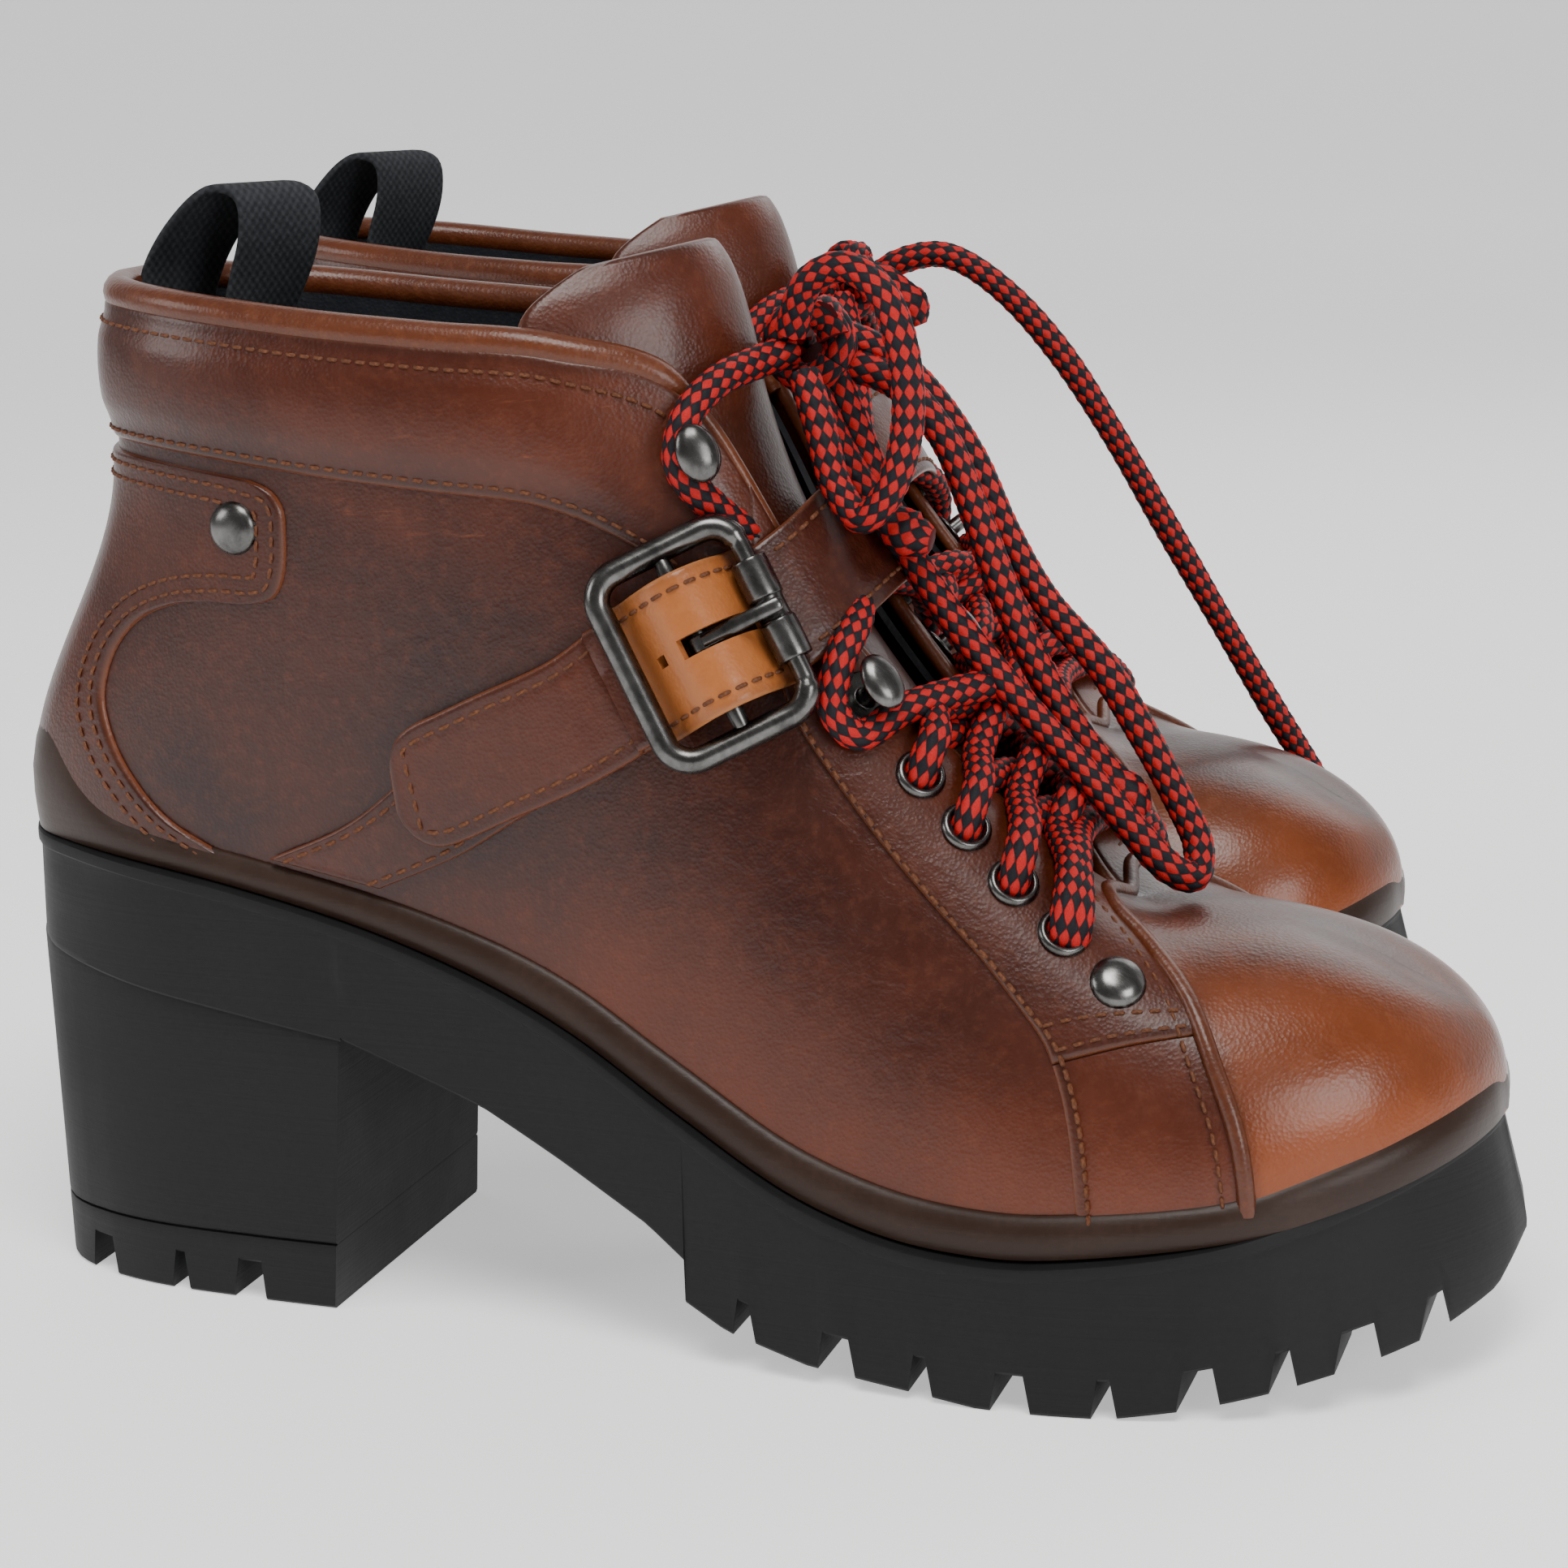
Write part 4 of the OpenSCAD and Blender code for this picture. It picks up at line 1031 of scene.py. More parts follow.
@dataclass(frozen=True)
class Panel:
    """A leather panel laid on the wall, with rounded edges.

    Its places side, u, v come from a function of two shares; its height over the wall
    follows a quarter circle within a rim of each free edge.
    """

    side: Array
    u: Array
    v: Array
    base: float = 0.0
    thick: float = 1.2
    under: float = 0.05
    rim: float = 1.3
    free: tuple[bool, bool, bool, bool] = (True, True, True, True)
    warmth: float = 0.0
    puff: Array | None = None

    def grids(self) -> tuple[Array, Array, Array]:
        """The panel's two faces, from its places and the height over them.

        Returns:
            Outer points, inner points and each outer point's distance from the nearest free edge.
        """
        ground = LAST.wall(self.side, self.u, self.v)
        normal = LAST.normal(self.side, self.u, self.v)
        far = np.full(self.u.shape, 1e3)
        for axis, (start, end) in enumerate((self.free[:2], self.free[2:])):
            ahead, back = run_from(ground, axis)
            far = np.minimum(far, ahead if start else 1e3)
            far = np.minimum(far, back if end else 1e3)
        x = np.clip(far / self.rim, 0, 1)
        height = self.base + (self.thick + 0.3) * np.sqrt(np.maximum(1 - (1 - x)**2, 0)) - 0.3
        if self.puff is not None:
            height = height + self.puff * ease(far / 7.0)
        return (ground + normal * height[..., None],
                ground + normal * (self.base - self.under - 0.35), far)

    def skin(self) -> Skin:
        """The panel as a closed solid.

        Returns:
            Its surface, with what varies over it.
        """
        outer, inner, far = self.grids()
        wear = sheet_wear(self.side, self.u, self.v, np.clip(far / 3.2, 0, 1), self.warmth)
        return closed_sheet(outer, inner, wear)


# The seam between the vamp and the facing, and the front edge of the facing: v, u
FACING_BACK = [[-0.1, 0.683], [0, 0.681], [0.06, 0.68], [0.22, 0.677], [0.337, 0.67], [0.387, 0.662],
               [0.477, 0.635], [0.523, 0.611], [0.57, 0.585], [0.627, 0.555], [0.68, 0.527],
               [0.8, 0.5], [1, 0.487]]
TOE_SEAM = [[-0.1, 0.761], [0, 0.7605], [0.06, 0.76], [0.203, 0.757], [0.36, 0.75], [0.557, 0.743],
            [0.723, 0.729], [0.823, 0.717], [0.93, 0.721], [1, 0.7455]]
# The join of quarter and vamp, hidden below the strap: v, u
QUARTER_SEAM = [[-0.1, 0.23], [0, 0.245], [0.12, 0.276], [0.2, 0.305], [0.3, 0.345], [0.46, 0.4],
                [0.62, 0.47], [0.86, 0.505], [1, 0.51]]
# The counter panel's front edge: u, v from the sole up to its top corner
COUNTER_EDGE = [[0.225, 0], [0.2, 0.043], [0.163, 0.09], [0.135, 0.167], [0.115, 0.243],
                [0.105, 0.3], [0.103, 0.377], [0.112, 0.437], [0.132, 0.478], [0.158, 0.5],
                [0.184, 0.511], [0.197, 0.53], [0.2, 0.57], [0.197, 0.64], [0.194, 0.685],
                [0.186, 0.713], [0.17, 0.726]]
COLLAR_LOW = [[0, 0.742], [0.11, 0.748], [0.25, 0.751], [0.36, 0.746], [0.388, 0.735], [0.413, 0.715],
              [0.437, 0.7], [0.47, 0.69], [0.505, 0.7]]


@dataclass
class Upper:
    """The leather upper: quarters, vamp, facings, toe cap, collar, tongue, lining and loop."""

    boot: Boot
    leather: float = 1.6
    overlay: float = 1.15
    lining_from: float = -3.0
    lining_to: float = -4.2
    collar_end: float = 0.500
    tongue_thick: float = 3.4

    def cross_band(self, s: Array) -> Array:
        """The v of the seam across the facing's foot, from its back to its front."""
        return 0.318 + 0.135 * s

    def seam_row(self, side: float, places: Array, height: float, **thread: float) -> Skin:
        """Stitches along places u, v on one side of the wall."""
        return stitches(LAST.over(side, places[:, 0], places[:, 1], height),
                        LAST.normal(side, places[:, 0], places[:, 1]), **thread)

    def quarters(self) -> None:
        """The wall behind the strap, round the heel from one side to the other."""
        c = np.linspace(-1, 1, 161)[:, None]
        v = np.linspace(0, 1, 61)[None, :]
        u = np.abs(c) * along_v(QUARTER_SEAM, v)
        side = np.where(c < 0, OUTER, INNER)
        p = LAST.wall(side, u, v)
        n = LAST.normal(side, u, v)
        wear = sheet_wear(side, u, v, np.ones_like(u))
        self.boot.make("quarters", closed_sheet(p, p - self.leather * n, wear), Finish.BROWN,
                       "brown_leather", ["quarters"])

    def vamp(self) -> None:
        """The wall in front of the strap as far as the toe seam, one sheet on each side."""
        s = np.linspace(0, 1, 101)[:, None]
        v = np.linspace(0, 1, 61)[None, :]
        start = along_v(QUARTER_SEAM, v)
        u = start + (0.7455 - start) * s
        skins = []
        for side in (OUTER, INNER):
            p, n = LAST.wall(side, u, v), LAST.normal(side, u, v)
            skins.append(closed_sheet(p, p - self.leather * n, sheet_wear(side, u, v, np.ones_like(u))))
        self.boot.make("vamp", joined(skins), Finish.BROWN, "brown_leather", ["vamp"])

    def facings(self) -> None:
        """The facings along the throat, and the bands below them in front of the vamp."""
        skins, thread = [], []
        for side in (OUTER, INNER):
            s = edge_steps(60, 34)[:, None]
            t = edge_steps(55, 44)[None, :]
            foot = self.cross_band(s)
            v = foot + (1.0 - foot) * t
            back = along_v(FACING_BACK, v)
            u = back + (along_v(TOE_SEAM, v) - back) * s
            skins.append(Panel(np.full(u.shape, side), u, v, 0.0, self.overlay, warmth=0.05,
                               free=(True, False, True, True)).skin())
            v = foot * t * 0.995
            back = along_v(FACING_BACK, v)
            u = back + (along_v(TOE_SEAM, v) - back) * s
            skins.append(Panel(np.full(u.shape, side), u, v, 0.0, 0.55, warmth=0.12,
                               free=(True, False, False, False)).skin())
            w = np.linspace(0.0, 0.7, 90)
            thread.append(self.seam_row(side, np.column_stack([along_v(FACING_BACK, w) + 0.0065, w]),
                                        0.55 + 0.6 * 0.9, pitch=2.4, length=2.0, radius=0.42))
            w = np.linspace(0.05, 0.95, 40)
            for lift in (0.022, 0.062):
                row = self.cross_band(w) + lift
                start = along_v(FACING_BACK, row)
                places = np.column_stack([start + (along_v(TOE_SEAM, row) - start) * w, row])
                thread.append(self.seam_row(side, places, self.overlay, pitch=2.6, length=2.0))
            w = np.linspace(0.0, 0.93, 90)
            thread.append(self.seam_row(side, np.column_stack([along_v(TOE_SEAM, w) - 0.0125, w]),
                                        0.9, pitch=2.6, length=2.0))
        self.boot.make("facings", joined(skins), Finish.BROWN, "brown_leather", ["eyestays"])
        self.boot.make("facing_stitches", joined(thread), Finish.THREAD, "brown_leather")

    def toe_cap(self) -> None:
        """The toe cap as one sheet over both sides, with its piping."""
        c = both_ways(110, 70)
        v = np.linspace(0, 1, 70)[None, :]**0.9
        u = 1 - np.abs(c) * (1 - along_v(TOE_SEAM, v))
        side = np.where(c < 0, OUTER, INNER)
        ground, normal = LAST.wall(side, u, v), LAST.normal(side, u, v)
        row = np.arange(len(c))
        share = ease((np.minimum(row, row[::-1]) - 6) / 10)[1:-1, None, None]
        for _ in range(60):
            for grid in (ground, normal):
                grid[1:-1] += 0.5 * share * (0.5 * (grid[:-2] + grid[2:]) - grid[1:-1])
        normal = unit(normal)
        ahead, back = run_from(ground, 0)
        far = np.minimum(ahead, back)
        height = np.sqrt(np.maximum(1 - (1 - np.clip(far / 1.3, 0, 1))**2, 0))
        outer, inner = ground + normal * height[..., None], ground - self.leather * normal
        for grid in (outer, inner):
            grid[:, -1] = 0.5 * (grid[:, -1] + grid[::-1, -1])
        wear = sheet_wear(side, u, v, np.clip(far / 4.0, 0, 1), 0.16)
        wear[..., 1] += 0.35 * np.exp(-((u - 0.83) / 0.09)**2) * ease((0.85 - v) / 0.5)
        wear[..., 1] -= 0.55 * ease((v - 0.55) / 0.4)
        wear[..., 2] = 0.1
        skin = closed_sheet(outer, inner, wear)
        cols = outer.shape[1]
        quads = skin.faces[0]
        count = outer.shape[0] * cols
        on_top = (quads % count) % cols == cols - 1
        skin = Skin(skin.points, [quads[~on_top.all(1)]], wear=skin.wear)
        self.boot.make("toe_cap", skin, Finish.TOE, "toe_leather", ["toe_cap"])
        half = np.linspace(0.035, 1, 120)
        rows = np.concatenate([half, half[::-1][1:]])
        ways = np.repeat([OUTER, INNER], [120, 119])
        path = flow(LAST.over(ways, along_v(TOE_SEAM, rows) + 0.001, rows, 0.75), 1.2)
        piping = tube(path, 1.55, 12).worn(0.75, 0.35, 0.1)
        self.boot.make("toe_piping", piping, Finish.BINDING, "brown_leather")

    def counter(self) -> None:
        """The panel over the heel with its double row of stitches."""
        edge = uv_line(COUNTER_EDGE, 90)
        c = both_ways(55, 34)
        u, v = np.abs(c) * edge[None, :, 0], edge[None, :, 1] + 0 * c
        side = np.where(c < 0, OUTER, INNER) + 0 * u
        panel = Panel(side, u, v, 0.0, self.overlay, warmth=0.10, free=(True, True, False, True))
        self.boot.make("counter_panel", panel.skin(), Finish.BROWN, "brown_leather", ["counter_panel"])
        thread = []
        scale = np.array([250.0, 95.0])
        for inset in (2.0, 4.6):
            line = edge * scale
            across = np.column_stack([-np.gradient(line[:, 1]), np.gradient(line[:, 0])])
            moved = (line + inset * unit(across)) / scale
            top = np.column_stack([np.linspace(moved[-1, 0], 0.004, 30),
                                   np.full(30, 0.727 - inset / scale[1])])
            row = np.concatenate([moved[8:-3], top[3:]])
            for way in (OUTER, INNER):
                thread.append(self.seam_row(way, row, self.overlay, pitch=2.7, length=2.1))
        self.boot.make("counter_stitches", joined(thread), Finish.THREAD, "brown_leather")

    def collar(self) -> None:
        """The padded collar, its top binding and its stitches."""
        c = both_ways(150, 80)
        t = edge_steps(40, 30)[None, :]
        u = np.abs(c) * self.collar_end + 0 * t
        low = rows_at(np.asarray(COLLAR_LOW), np.minimum(u, 0.5))[..., 1]
        v = low + (0.995 - low) * t
        side = np.where(c < 0, OUTER, INNER) + 0 * u
        puff = 1.9 * np.sin(np.pi * np.clip(t, 0, 1))**0.8 * (1 - 0.75 * ease((u - 0.33) / 0.1))
        panel = Panel(side, u, v, 0.0, 0.9, puff=puff, warmth=0.02)
        self.boot.make("collar", panel.skin(), Finish.BROWN, "brown_leather", ["collar"], fill=0.5)
        half = np.linspace(0, 0.462, 120)
        round_heel = np.concatenate([half[::-1], half[1:]])
        ways = np.repeat([OUTER, INNER], [120, 119])
        path = flow(LAST.over(ways, round_heel, np.ones_like(round_heel), -1.9) + [0, 0, 0.4], 1.5)
        share = np.linspace(0, 1, len(path))
        taper = 1 - 0.55 * ease((np.abs(share - 0.5) - 0.46) / 0.04)
        binding = tube(path, 3.0 * taper, 16).worn(0.8, 0.42, 0.15)
        self.boot.make("collar_binding", binding, Finish.BINDING, "brown_leather")
        thread = []
        for way in (OUTER, INNER):
            w = np.linspace(0.004, 0.455, 120)
            thread.append(self.seam_row(way, np.column_stack([w, 0.957 - 0.02 * ease((w - 0.35) / 0.1)]),
                                        1.45, pitch=2.6, length=2.0))
            w = np.linspace(0.004, 0.475, 120)
            low = rows_at(np.asarray(COLLAR_LOW), w)[:, 1]
            thread.append(self.seam_row(way, np.column_stack([w, low + 0.018]), 1.0,
                                        pitch=2.7, length=2.1))
        self.boot.make("collar_stitches", joined(thread), Finish.THREAD, "brown_leather")

    def throat_edges(self) -> None:
        """The folded edges of the throat, from the collar down to the toe cap."""
        skins = []
        for side in (OUTER, INNER):
            u = np.linspace(0.452, 0.738, 90)
            path = flow(LAST.over(side, u, np.ones_like(u), -0.35), 1.2)
            skins.append(tube(path, 1.35, 10))
        self.boot.make("throat_edges", joined(skins).worn(0.35, 0.75, 0.1), Finish.BINDING, "brown_leather")

    def lining(self) -> None:
        """The lining inside, from the throat on one side round the heel to the other."""
        c = np.linspace(-1, 1, 141)[:, None]
        v = np.linspace(0, 0.985, 41)[None, :]
        u = np.abs(c) * 0.742 + 0 * v
        side = np.where(c < 0, OUTER, INNER)
        p, n = LAST.wall(side, u, v), LAST.normal(side, u, v)
        wear = sheet_wear(side, u, v, np.ones_like(u))
        self.boot.make("lining", closed_sheet(p + self.lining_from * n, p + self.lining_to * n, wear),
                       Finish.LINING, "black_fabric", ["lining"])
        thread = []
        for way in (OUTER, INNER):
            w = np.linspace(0.01, 0.43, 100)
            thread.append(stitches(LAST.over(way, w, np.full(100, 0.925), self.lining_to),
                                   -LAST.normal(way, w, np.full(100, 0.925)), 2.6, 2.0))
        self.boot.make("lining_stitches", joined(thread), Finish.DARK_THREAD, "black_fabric")

    def tongue(self) -> None:
        """The padded tongue: rows from toe to top, bent back at its sides."""
        rows = np.array([[0, 205, 66, 9, 2, 0], [1, 190, 81, 11, 3, 1], [2, 173, 101, 14, 5, 2],
                         [3, 158, 122, 17, 9, 2], [4, 148, 142, 20, 13, 2], [5, 142.5, 158, 24, 20, 3],
                         [6, 140, 171, 26.5, 26, 4], [7, 137, 181, 25, 25, 6],
                         [7.6, 134, 186, 17, 14, 3]], float)
        r = rows_at(rows, np.linspace(0, rows[-1, 0], 90))[:, None, 1:]
        s = np.sin(np.linspace(-1, 1, 41) * np.pi / 2)[None, :]
        mid = np.stack([r[..., 0] - r[..., 3] * s**2, r[..., 2] * s, r[..., 1] - r[..., 4] * s**2], -1)
        normal = unit(np.cross(np.gradient(mid, axis=1), np.gradient(mid, axis=0)))
        length, width = run_from(mid, 0), run_from(mid, 1)
        far = np.minimum(np.minimum(length[0], length[1]), np.minimum(width[0], width[1]))
        x = np.sqrt(np.maximum(1 - (1 - np.clip(far / 2.2, 0, 1))**2, 0))[..., None]
        soft = self.tongue_thick / 2 * (0.25 + 0.75 * x)
        centre = mid + normal * self.tongue_thick / 2
        wear = np.stack([np.clip(far / 3, 0, 1), 0.34 + 0.1 * ease((mid[..., 2] - 150) / 30),
                         np.full(far.shape, 0.3)], -1)
        self.boot.make("tongue", closed_sheet(centre + normal * soft, centre - normal * soft, wear),
                       Finish.BROWN, "brown_leather", ["tongue"], fill=0.4)

    def rand(self) -> None:
        """The rand round the bottom of the upper: a rounded band that rises at heel and toe."""
        table = np.array([[0.0, 0.25], [0.05, 0.247], [0.07, 0.232], [0.085, 0.19], [0.10, 0.135],
                          [0.115, 0.095], [0.13, 0.075], [0.17, 0.06], [0.21, 0.056], [0.37, 0.058],
                          [0.45, 0.05], [0.60, 0.05], [0.67, 0.056], [0.745, 0.065], [0.81, 0.085],
                          [0.87, 0.105], [0.92, 0.135], [0.965, 0.175], [1.0, 0.20]])
        c = np.linspace(-1, 1, 321)[:-1, None]
        u = 1 - np.abs(c)
        side = np.where(c < 0, OUTER, INNER)
        t = np.array([-0.02, 0.0, 0.03, 0.1, 0.25, 0.45, 0.65, 0.82, 0.93, 0.985, 1.0])[None, :]
        high = rows_at(table, u[:, 0])[:, 1][:, None]
        v = np.maximum(t, 0) * high
        thick = 1.4 + 0.6 * ease((u - 0.02) / 0.12) - 1.1 * (1 - ease((1.0 - u) / 0.1))
        height = 0.15 + thick * np.sin(np.pi * np.clip(0.22 + 0.78 * t, 0, 1))**0.55
        outer = LAST.over(side, u + 0 * v, v, height)
        inner = LAST.over(side, u + 0 * v, v, np.full(v.shape, -0.6))
        ring = np.concatenate([outer, inner[:, ::-1]], axis=1)
        quads, _ = grid_quads(ring.shape[0], ring.shape[1], wrap_rows=True, wrap_cols=True)
        self.boot.make("rand", Skin(ring.reshape(-1, 3), [quads]), Finish.RAND, "rand_rubber", ["rand"])

    def pull_loop(self) -> None:
        """The webbing loop at the back: a flat band along a bent path."""
        path = np.array([[32.3, 148], [32.4, 164], [34.5, 176], [37, 184], [43, 192], [50, 197],
                         [55.5, 195.5], [56, 189], [53, 180], [49, 171], [43, 162], [37, 155],
                         [34.2, 148]], float)
        line = flow(np.column_stack([path[:, 0], np.zeros(len(path)), path[:, 1]]), 1.2)
        along = unit(np.gradient(line, axis=0))
        y = np.array([-8, -7.9, -7.5, -6.6, -4, 0, 4, 6.6, 7.5, 7.9, 8.0])
        thick = 0.8 * np.array([0.3, 0.65, 0.9, 1, 1, 1, 1, 1, 0.9, 0.65, 0.3])
        turn = (0.62 if self.boot.mirror else -0.62) * ease((line[:, 2] - 160) / 25)[:, None]
        wide = np.stack([-np.sin(turn), np.cos(turn), 0 * turn], -1)
        mid = line[:, None] + y[None, :, None] * wide
        out = unit(np.cross(along, wide[:, 0]))
        push = out[:, None] * thick[None, :, None]
        self.boot.make("pull_loop", closed_sheet(mid + push, mid - push), Finish.WEBBING,
                       "black_fabric", ["pull_loop"])

    def build(self) -> None:
        """Builds every piece of the upper."""
        self.quarters()
        self.vamp()
        self.facings()
        self.toe_cap()
        self.counter()
        self.collar()
        self.throat_edges()
        self.lining()
        self.tongue()
        self.rand()
        self.pull_loop()


@dataclass
class Sole:
    """The lugged outsole, the heel block and its top piece."""

    boot: Boot
    edge: float = 4.2
    tread: float = 6.5
    lift: float = 12.0
    heel_front: float = 74.5

    def outline(self, out: float, x: Array) -> tuple[Array, Array]:
        """The two edges of the sole: the sole line moved out and read at x.

        Args:
            out: How far out from the sole line.
            x: Places along the boot.

        Returns:
            The y of the outer and of the inner edge.
        """
        u = np.linspace(0, 1, 400)
        edges = []
        for side in (OUTER, INNER):
            p, n = LAST.wall(side, u, 0 * u), LAST.normal(side, u, 0 * u)
            flat = unit(n * [1, 1, 0])
            q = p + out * flat
            order = np.argsort(q[:, 0])
            edges.append(np.interp(x, q[order, 0], q[order, 1]))
        return edges[0], edges[1]

    def stations(self, plain: Array, grooves: Sequence[tuple[float, float]]) -> tuple[Array, Array]:
        """Places of the sections, with four more for each groove with its sloping walls.

        Args:
            plain: Places of the sections between the grooves.
            grooves: Middle and width of each groove.

        Returns:
            All the places in order, and which of them lie on a groove's floor.
        """
        middle, half = np.array(grooves).T / [[1.0], [2.0]]
        cuts = np.stack([middle - half - 0.9, middle - half + 0.2,
                         middle + half - 0.2, middle + half + 0.9], 1)
        clear = np.all([(plain < c[0] - 0.05) | (plain > c[3] + 0.05) for c in cuts], axis=0)
        x = np.unique(np.concatenate([plain[clear], cuts.ravel()]))
        cut = np.any([(x > c[1] - 1e-6) & (x < c[2] + 1e-6) for c in cuts], axis=0)
        return x, cut

    def loft(self, x: Array, out: float, top: Array, low: Array, inside: Array,
             skew: Callable[[Array], Array], lip: float = 0.0) -> Skin:
        """A block carried along X: each section runs down one wall, across and up the other.

        Args:
            x: Places of the sections.
            out: How far out from the sole line the walls stand.
            top: Height of the top at each section.
            low: Height of the floor at each section.
            inside: Height of the floor inside the long channels.
            skew: Moves the finished points, where the block leans or flares.
            lip: How far the upper edge stands out over the wall below it.

        Returns:
            The closed block.
        """
        left, right = self.outline(out, x)
        mid = 0.5 * (left + right)
        left, right = np.minimum(left, mid - 0.02), np.maximum(right, mid + 0.02)
        half = 0.5 * (right - left)
        soft = np.minimum(0.7, half * 0.4)
        step = np.minimum(lip, half * 0.5)
        down = np.array([0.0, 0.15, 0.4, 0.7, 0.95, 1.0])
        base = np.maximum(top - 3.2, low + 0.9)
        wall = base[:, None] + (low[:, None] + 0.5 - base[:, None]) * down
        sides = [(soft, top), (soft * 0.25, top - 0.2), (0 * soft, top - 0.7), (0 * soft, top - 2.1),
                 (step * 0.25, top - 2.45), (step * 0.9, top - 2.6)]
        sides += [(step * (1 - 0.85 * d), wall[:, k]) for k, d in enumerate(down)]
        sides.append((soft * 0.7, low))
        rows: list[Array] = [np.stack([x, left + inset, z], -1) for inset, z in sides]
        for y, deep in ((-19.4, 0), (-19.0, 1), (-15.0, 1), (-14.6, 0), (0.0, 0), (14.6, 0), (15.0, 1),
                        (19.0, 1), (19.4, 0)):
            z = inside if deep else low
            rows.append(np.stack([x, np.clip(y, left + soft * 0.7, right - soft * 0.7), z], -1))
        rows += [np.stack([x, right - inset, z], -1) for inset, z in sides[::-1]]
        ring = skew(np.stack(rows, 1))
        quads, _ = grid_quads(ring.shape[0], ring.shape[1], wrap_cols=True)
        n = ring.shape[1]
        caps = np.stack([np.arange(n), (ring.shape[0] - 1) * n + np.arange(n)[::-1]])
        return Skin(ring.reshape(-1, 3), [quads, caps])

    def flare(self, ring: Array) -> Array:
        """The outsole's flare at the toe and its tuck at the heel.

        At the toe the upper edge lies further back than the floor, by a share of the height
        over the tread; at the heel the whole edge is tucked in.

        Args:
            ring: Points of the outsole.

        Returns:
            The points moved.
        """
        out = np.array(ring)
        x = ring[..., 0]
        top = LAST.low(x)
        high = np.clip(1 - (top - ring[..., 2]) / 20.0, 0, 1)
        front, back = ease((x - 205) / 70), 1 - ease((x + 1) / 42)
        out[..., 0] += 2.7 * back - 4.6 * high * front
        out[..., 1] *= 1 - 0.035 * back - 0.05 * high * front
        return out

    def lean(self, ring: Array) -> Array:
        """The heel's lean: the back comes forward and the front goes back towards the floor.

        Args:
            ring: Points of the heel.

        Returns:
            The points moved, by a share that grows as they near the floor.
        """
        out = np.array(ring)
        drop = 1 - ring[..., 2] / 62.0
        t = ring[..., 0] / self.heel_front
        out[..., 0] += drop * (1.5 * (1 - t) - 4.5 * t)
        out[..., 1] *= 1 + 0.03 * drop
        return out

    def outsole(self) -> None:
        """The outsole with its cross grooves and two long channels under the front."""
        line = np.array([[-0.72, 62.6], [75, 50.6], [75.01, 51], [94.5, 44], [102.5, 41], [117.5, 33],
                         [133.5, 24], [140.5, 18.5], [140.51, 11], [148, 7], [163, 3.2], [183, 1.2],
                         [193, 0], [215, 0], [227, 1.8], [241.5, 4.8], [252.5, 7.2], [263.5, 10],
                         [273, 14], [276.3, 20]])
        grooves = [(151.5, 2.4), (168.5, 5), (183.5, 2.4), (199, 5), (214.5, 2.4), (229.5, 5),
                   (242.5, 2.4), (253.5, 5), (264.5, 2.4)]
        ends = 4.5 * np.linspace(0, 1, 14)**2
        plain = np.concatenate([-0.69 + ends, np.arange(5, 271, 2.0), 276.18 - 2.2 * ends[::-1],
                                [75.0, 75.01, 140.5, 140.51]])
        x, cut = self.stations(plain, grooves)
        low = np.interp(x, line[:, 0], line[:, 1])
        top = LAST.low(x) - 0.6
        floor = np.minimum(low + np.where(cut, self.tread, 0), top - 4)
        inside = np.minimum(low + np.where((x > 140.505) & (x < 256), self.tread, 0), top - 4)
        skin = self.loft(x, self.edge, top, floor, np.maximum(inside, floor), self.flare, 1.1)
        self.boot.make("outsole", skin, Finish.SOLE, "sole_rubber", ["outsole"], sharp=32)

    def heel(self) -> None:
        """The heel block and the grooved top piece below it."""
        ends = 4.5 * np.linspace(0, 1, 14)**2
        front = self.heel_front
        plain = np.concatenate([1.92 + ends, np.arange(8, 73, 2.5), [front - 0.5, front]])
        x, cut = self.stations(plain, [(19.5, 5.5), (39.5, 2.4), (55.5, 5.5)])
        seat = np.interp(x, [-4, 75], [64.2, 51.0])
        flat = np.full(len(x), self.lift + 0.05)
        self.boot.make("heel_block", self.loft(x, 1.8, seat, flat, flat, self.lean), Finish.SOLE,
                       "sole_rubber", ["heel_block"], sharp=32)
        low = np.where(cut, 7.0, 0.0)
        self.boot.make("heel_lift", self.loft(x, 1.8, np.full(len(x), self.lift), low, low, self.lean),
                       Finish.SOLE, "sole_rubber", ["heel_lift"], sharp=32)

    def build(self) -> None:
        """Builds the outsole and the heel, and dresses the hidden layers above them."""
        self.outsole()
        self.heel()
        hidden = {"insole_board": Finish.BOARD, "footbed": Finish.INSOLE,
                  "heel_counter": Finish.BOARD, "toe_puff": Finish.BOARD}
        for node, finish in hidden.items():
            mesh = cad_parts[f"{self.boot.name}_{node}"].data
            mesh.materials.clear()
            mesh.materials.append(finish_of(finish))


# ---- laces

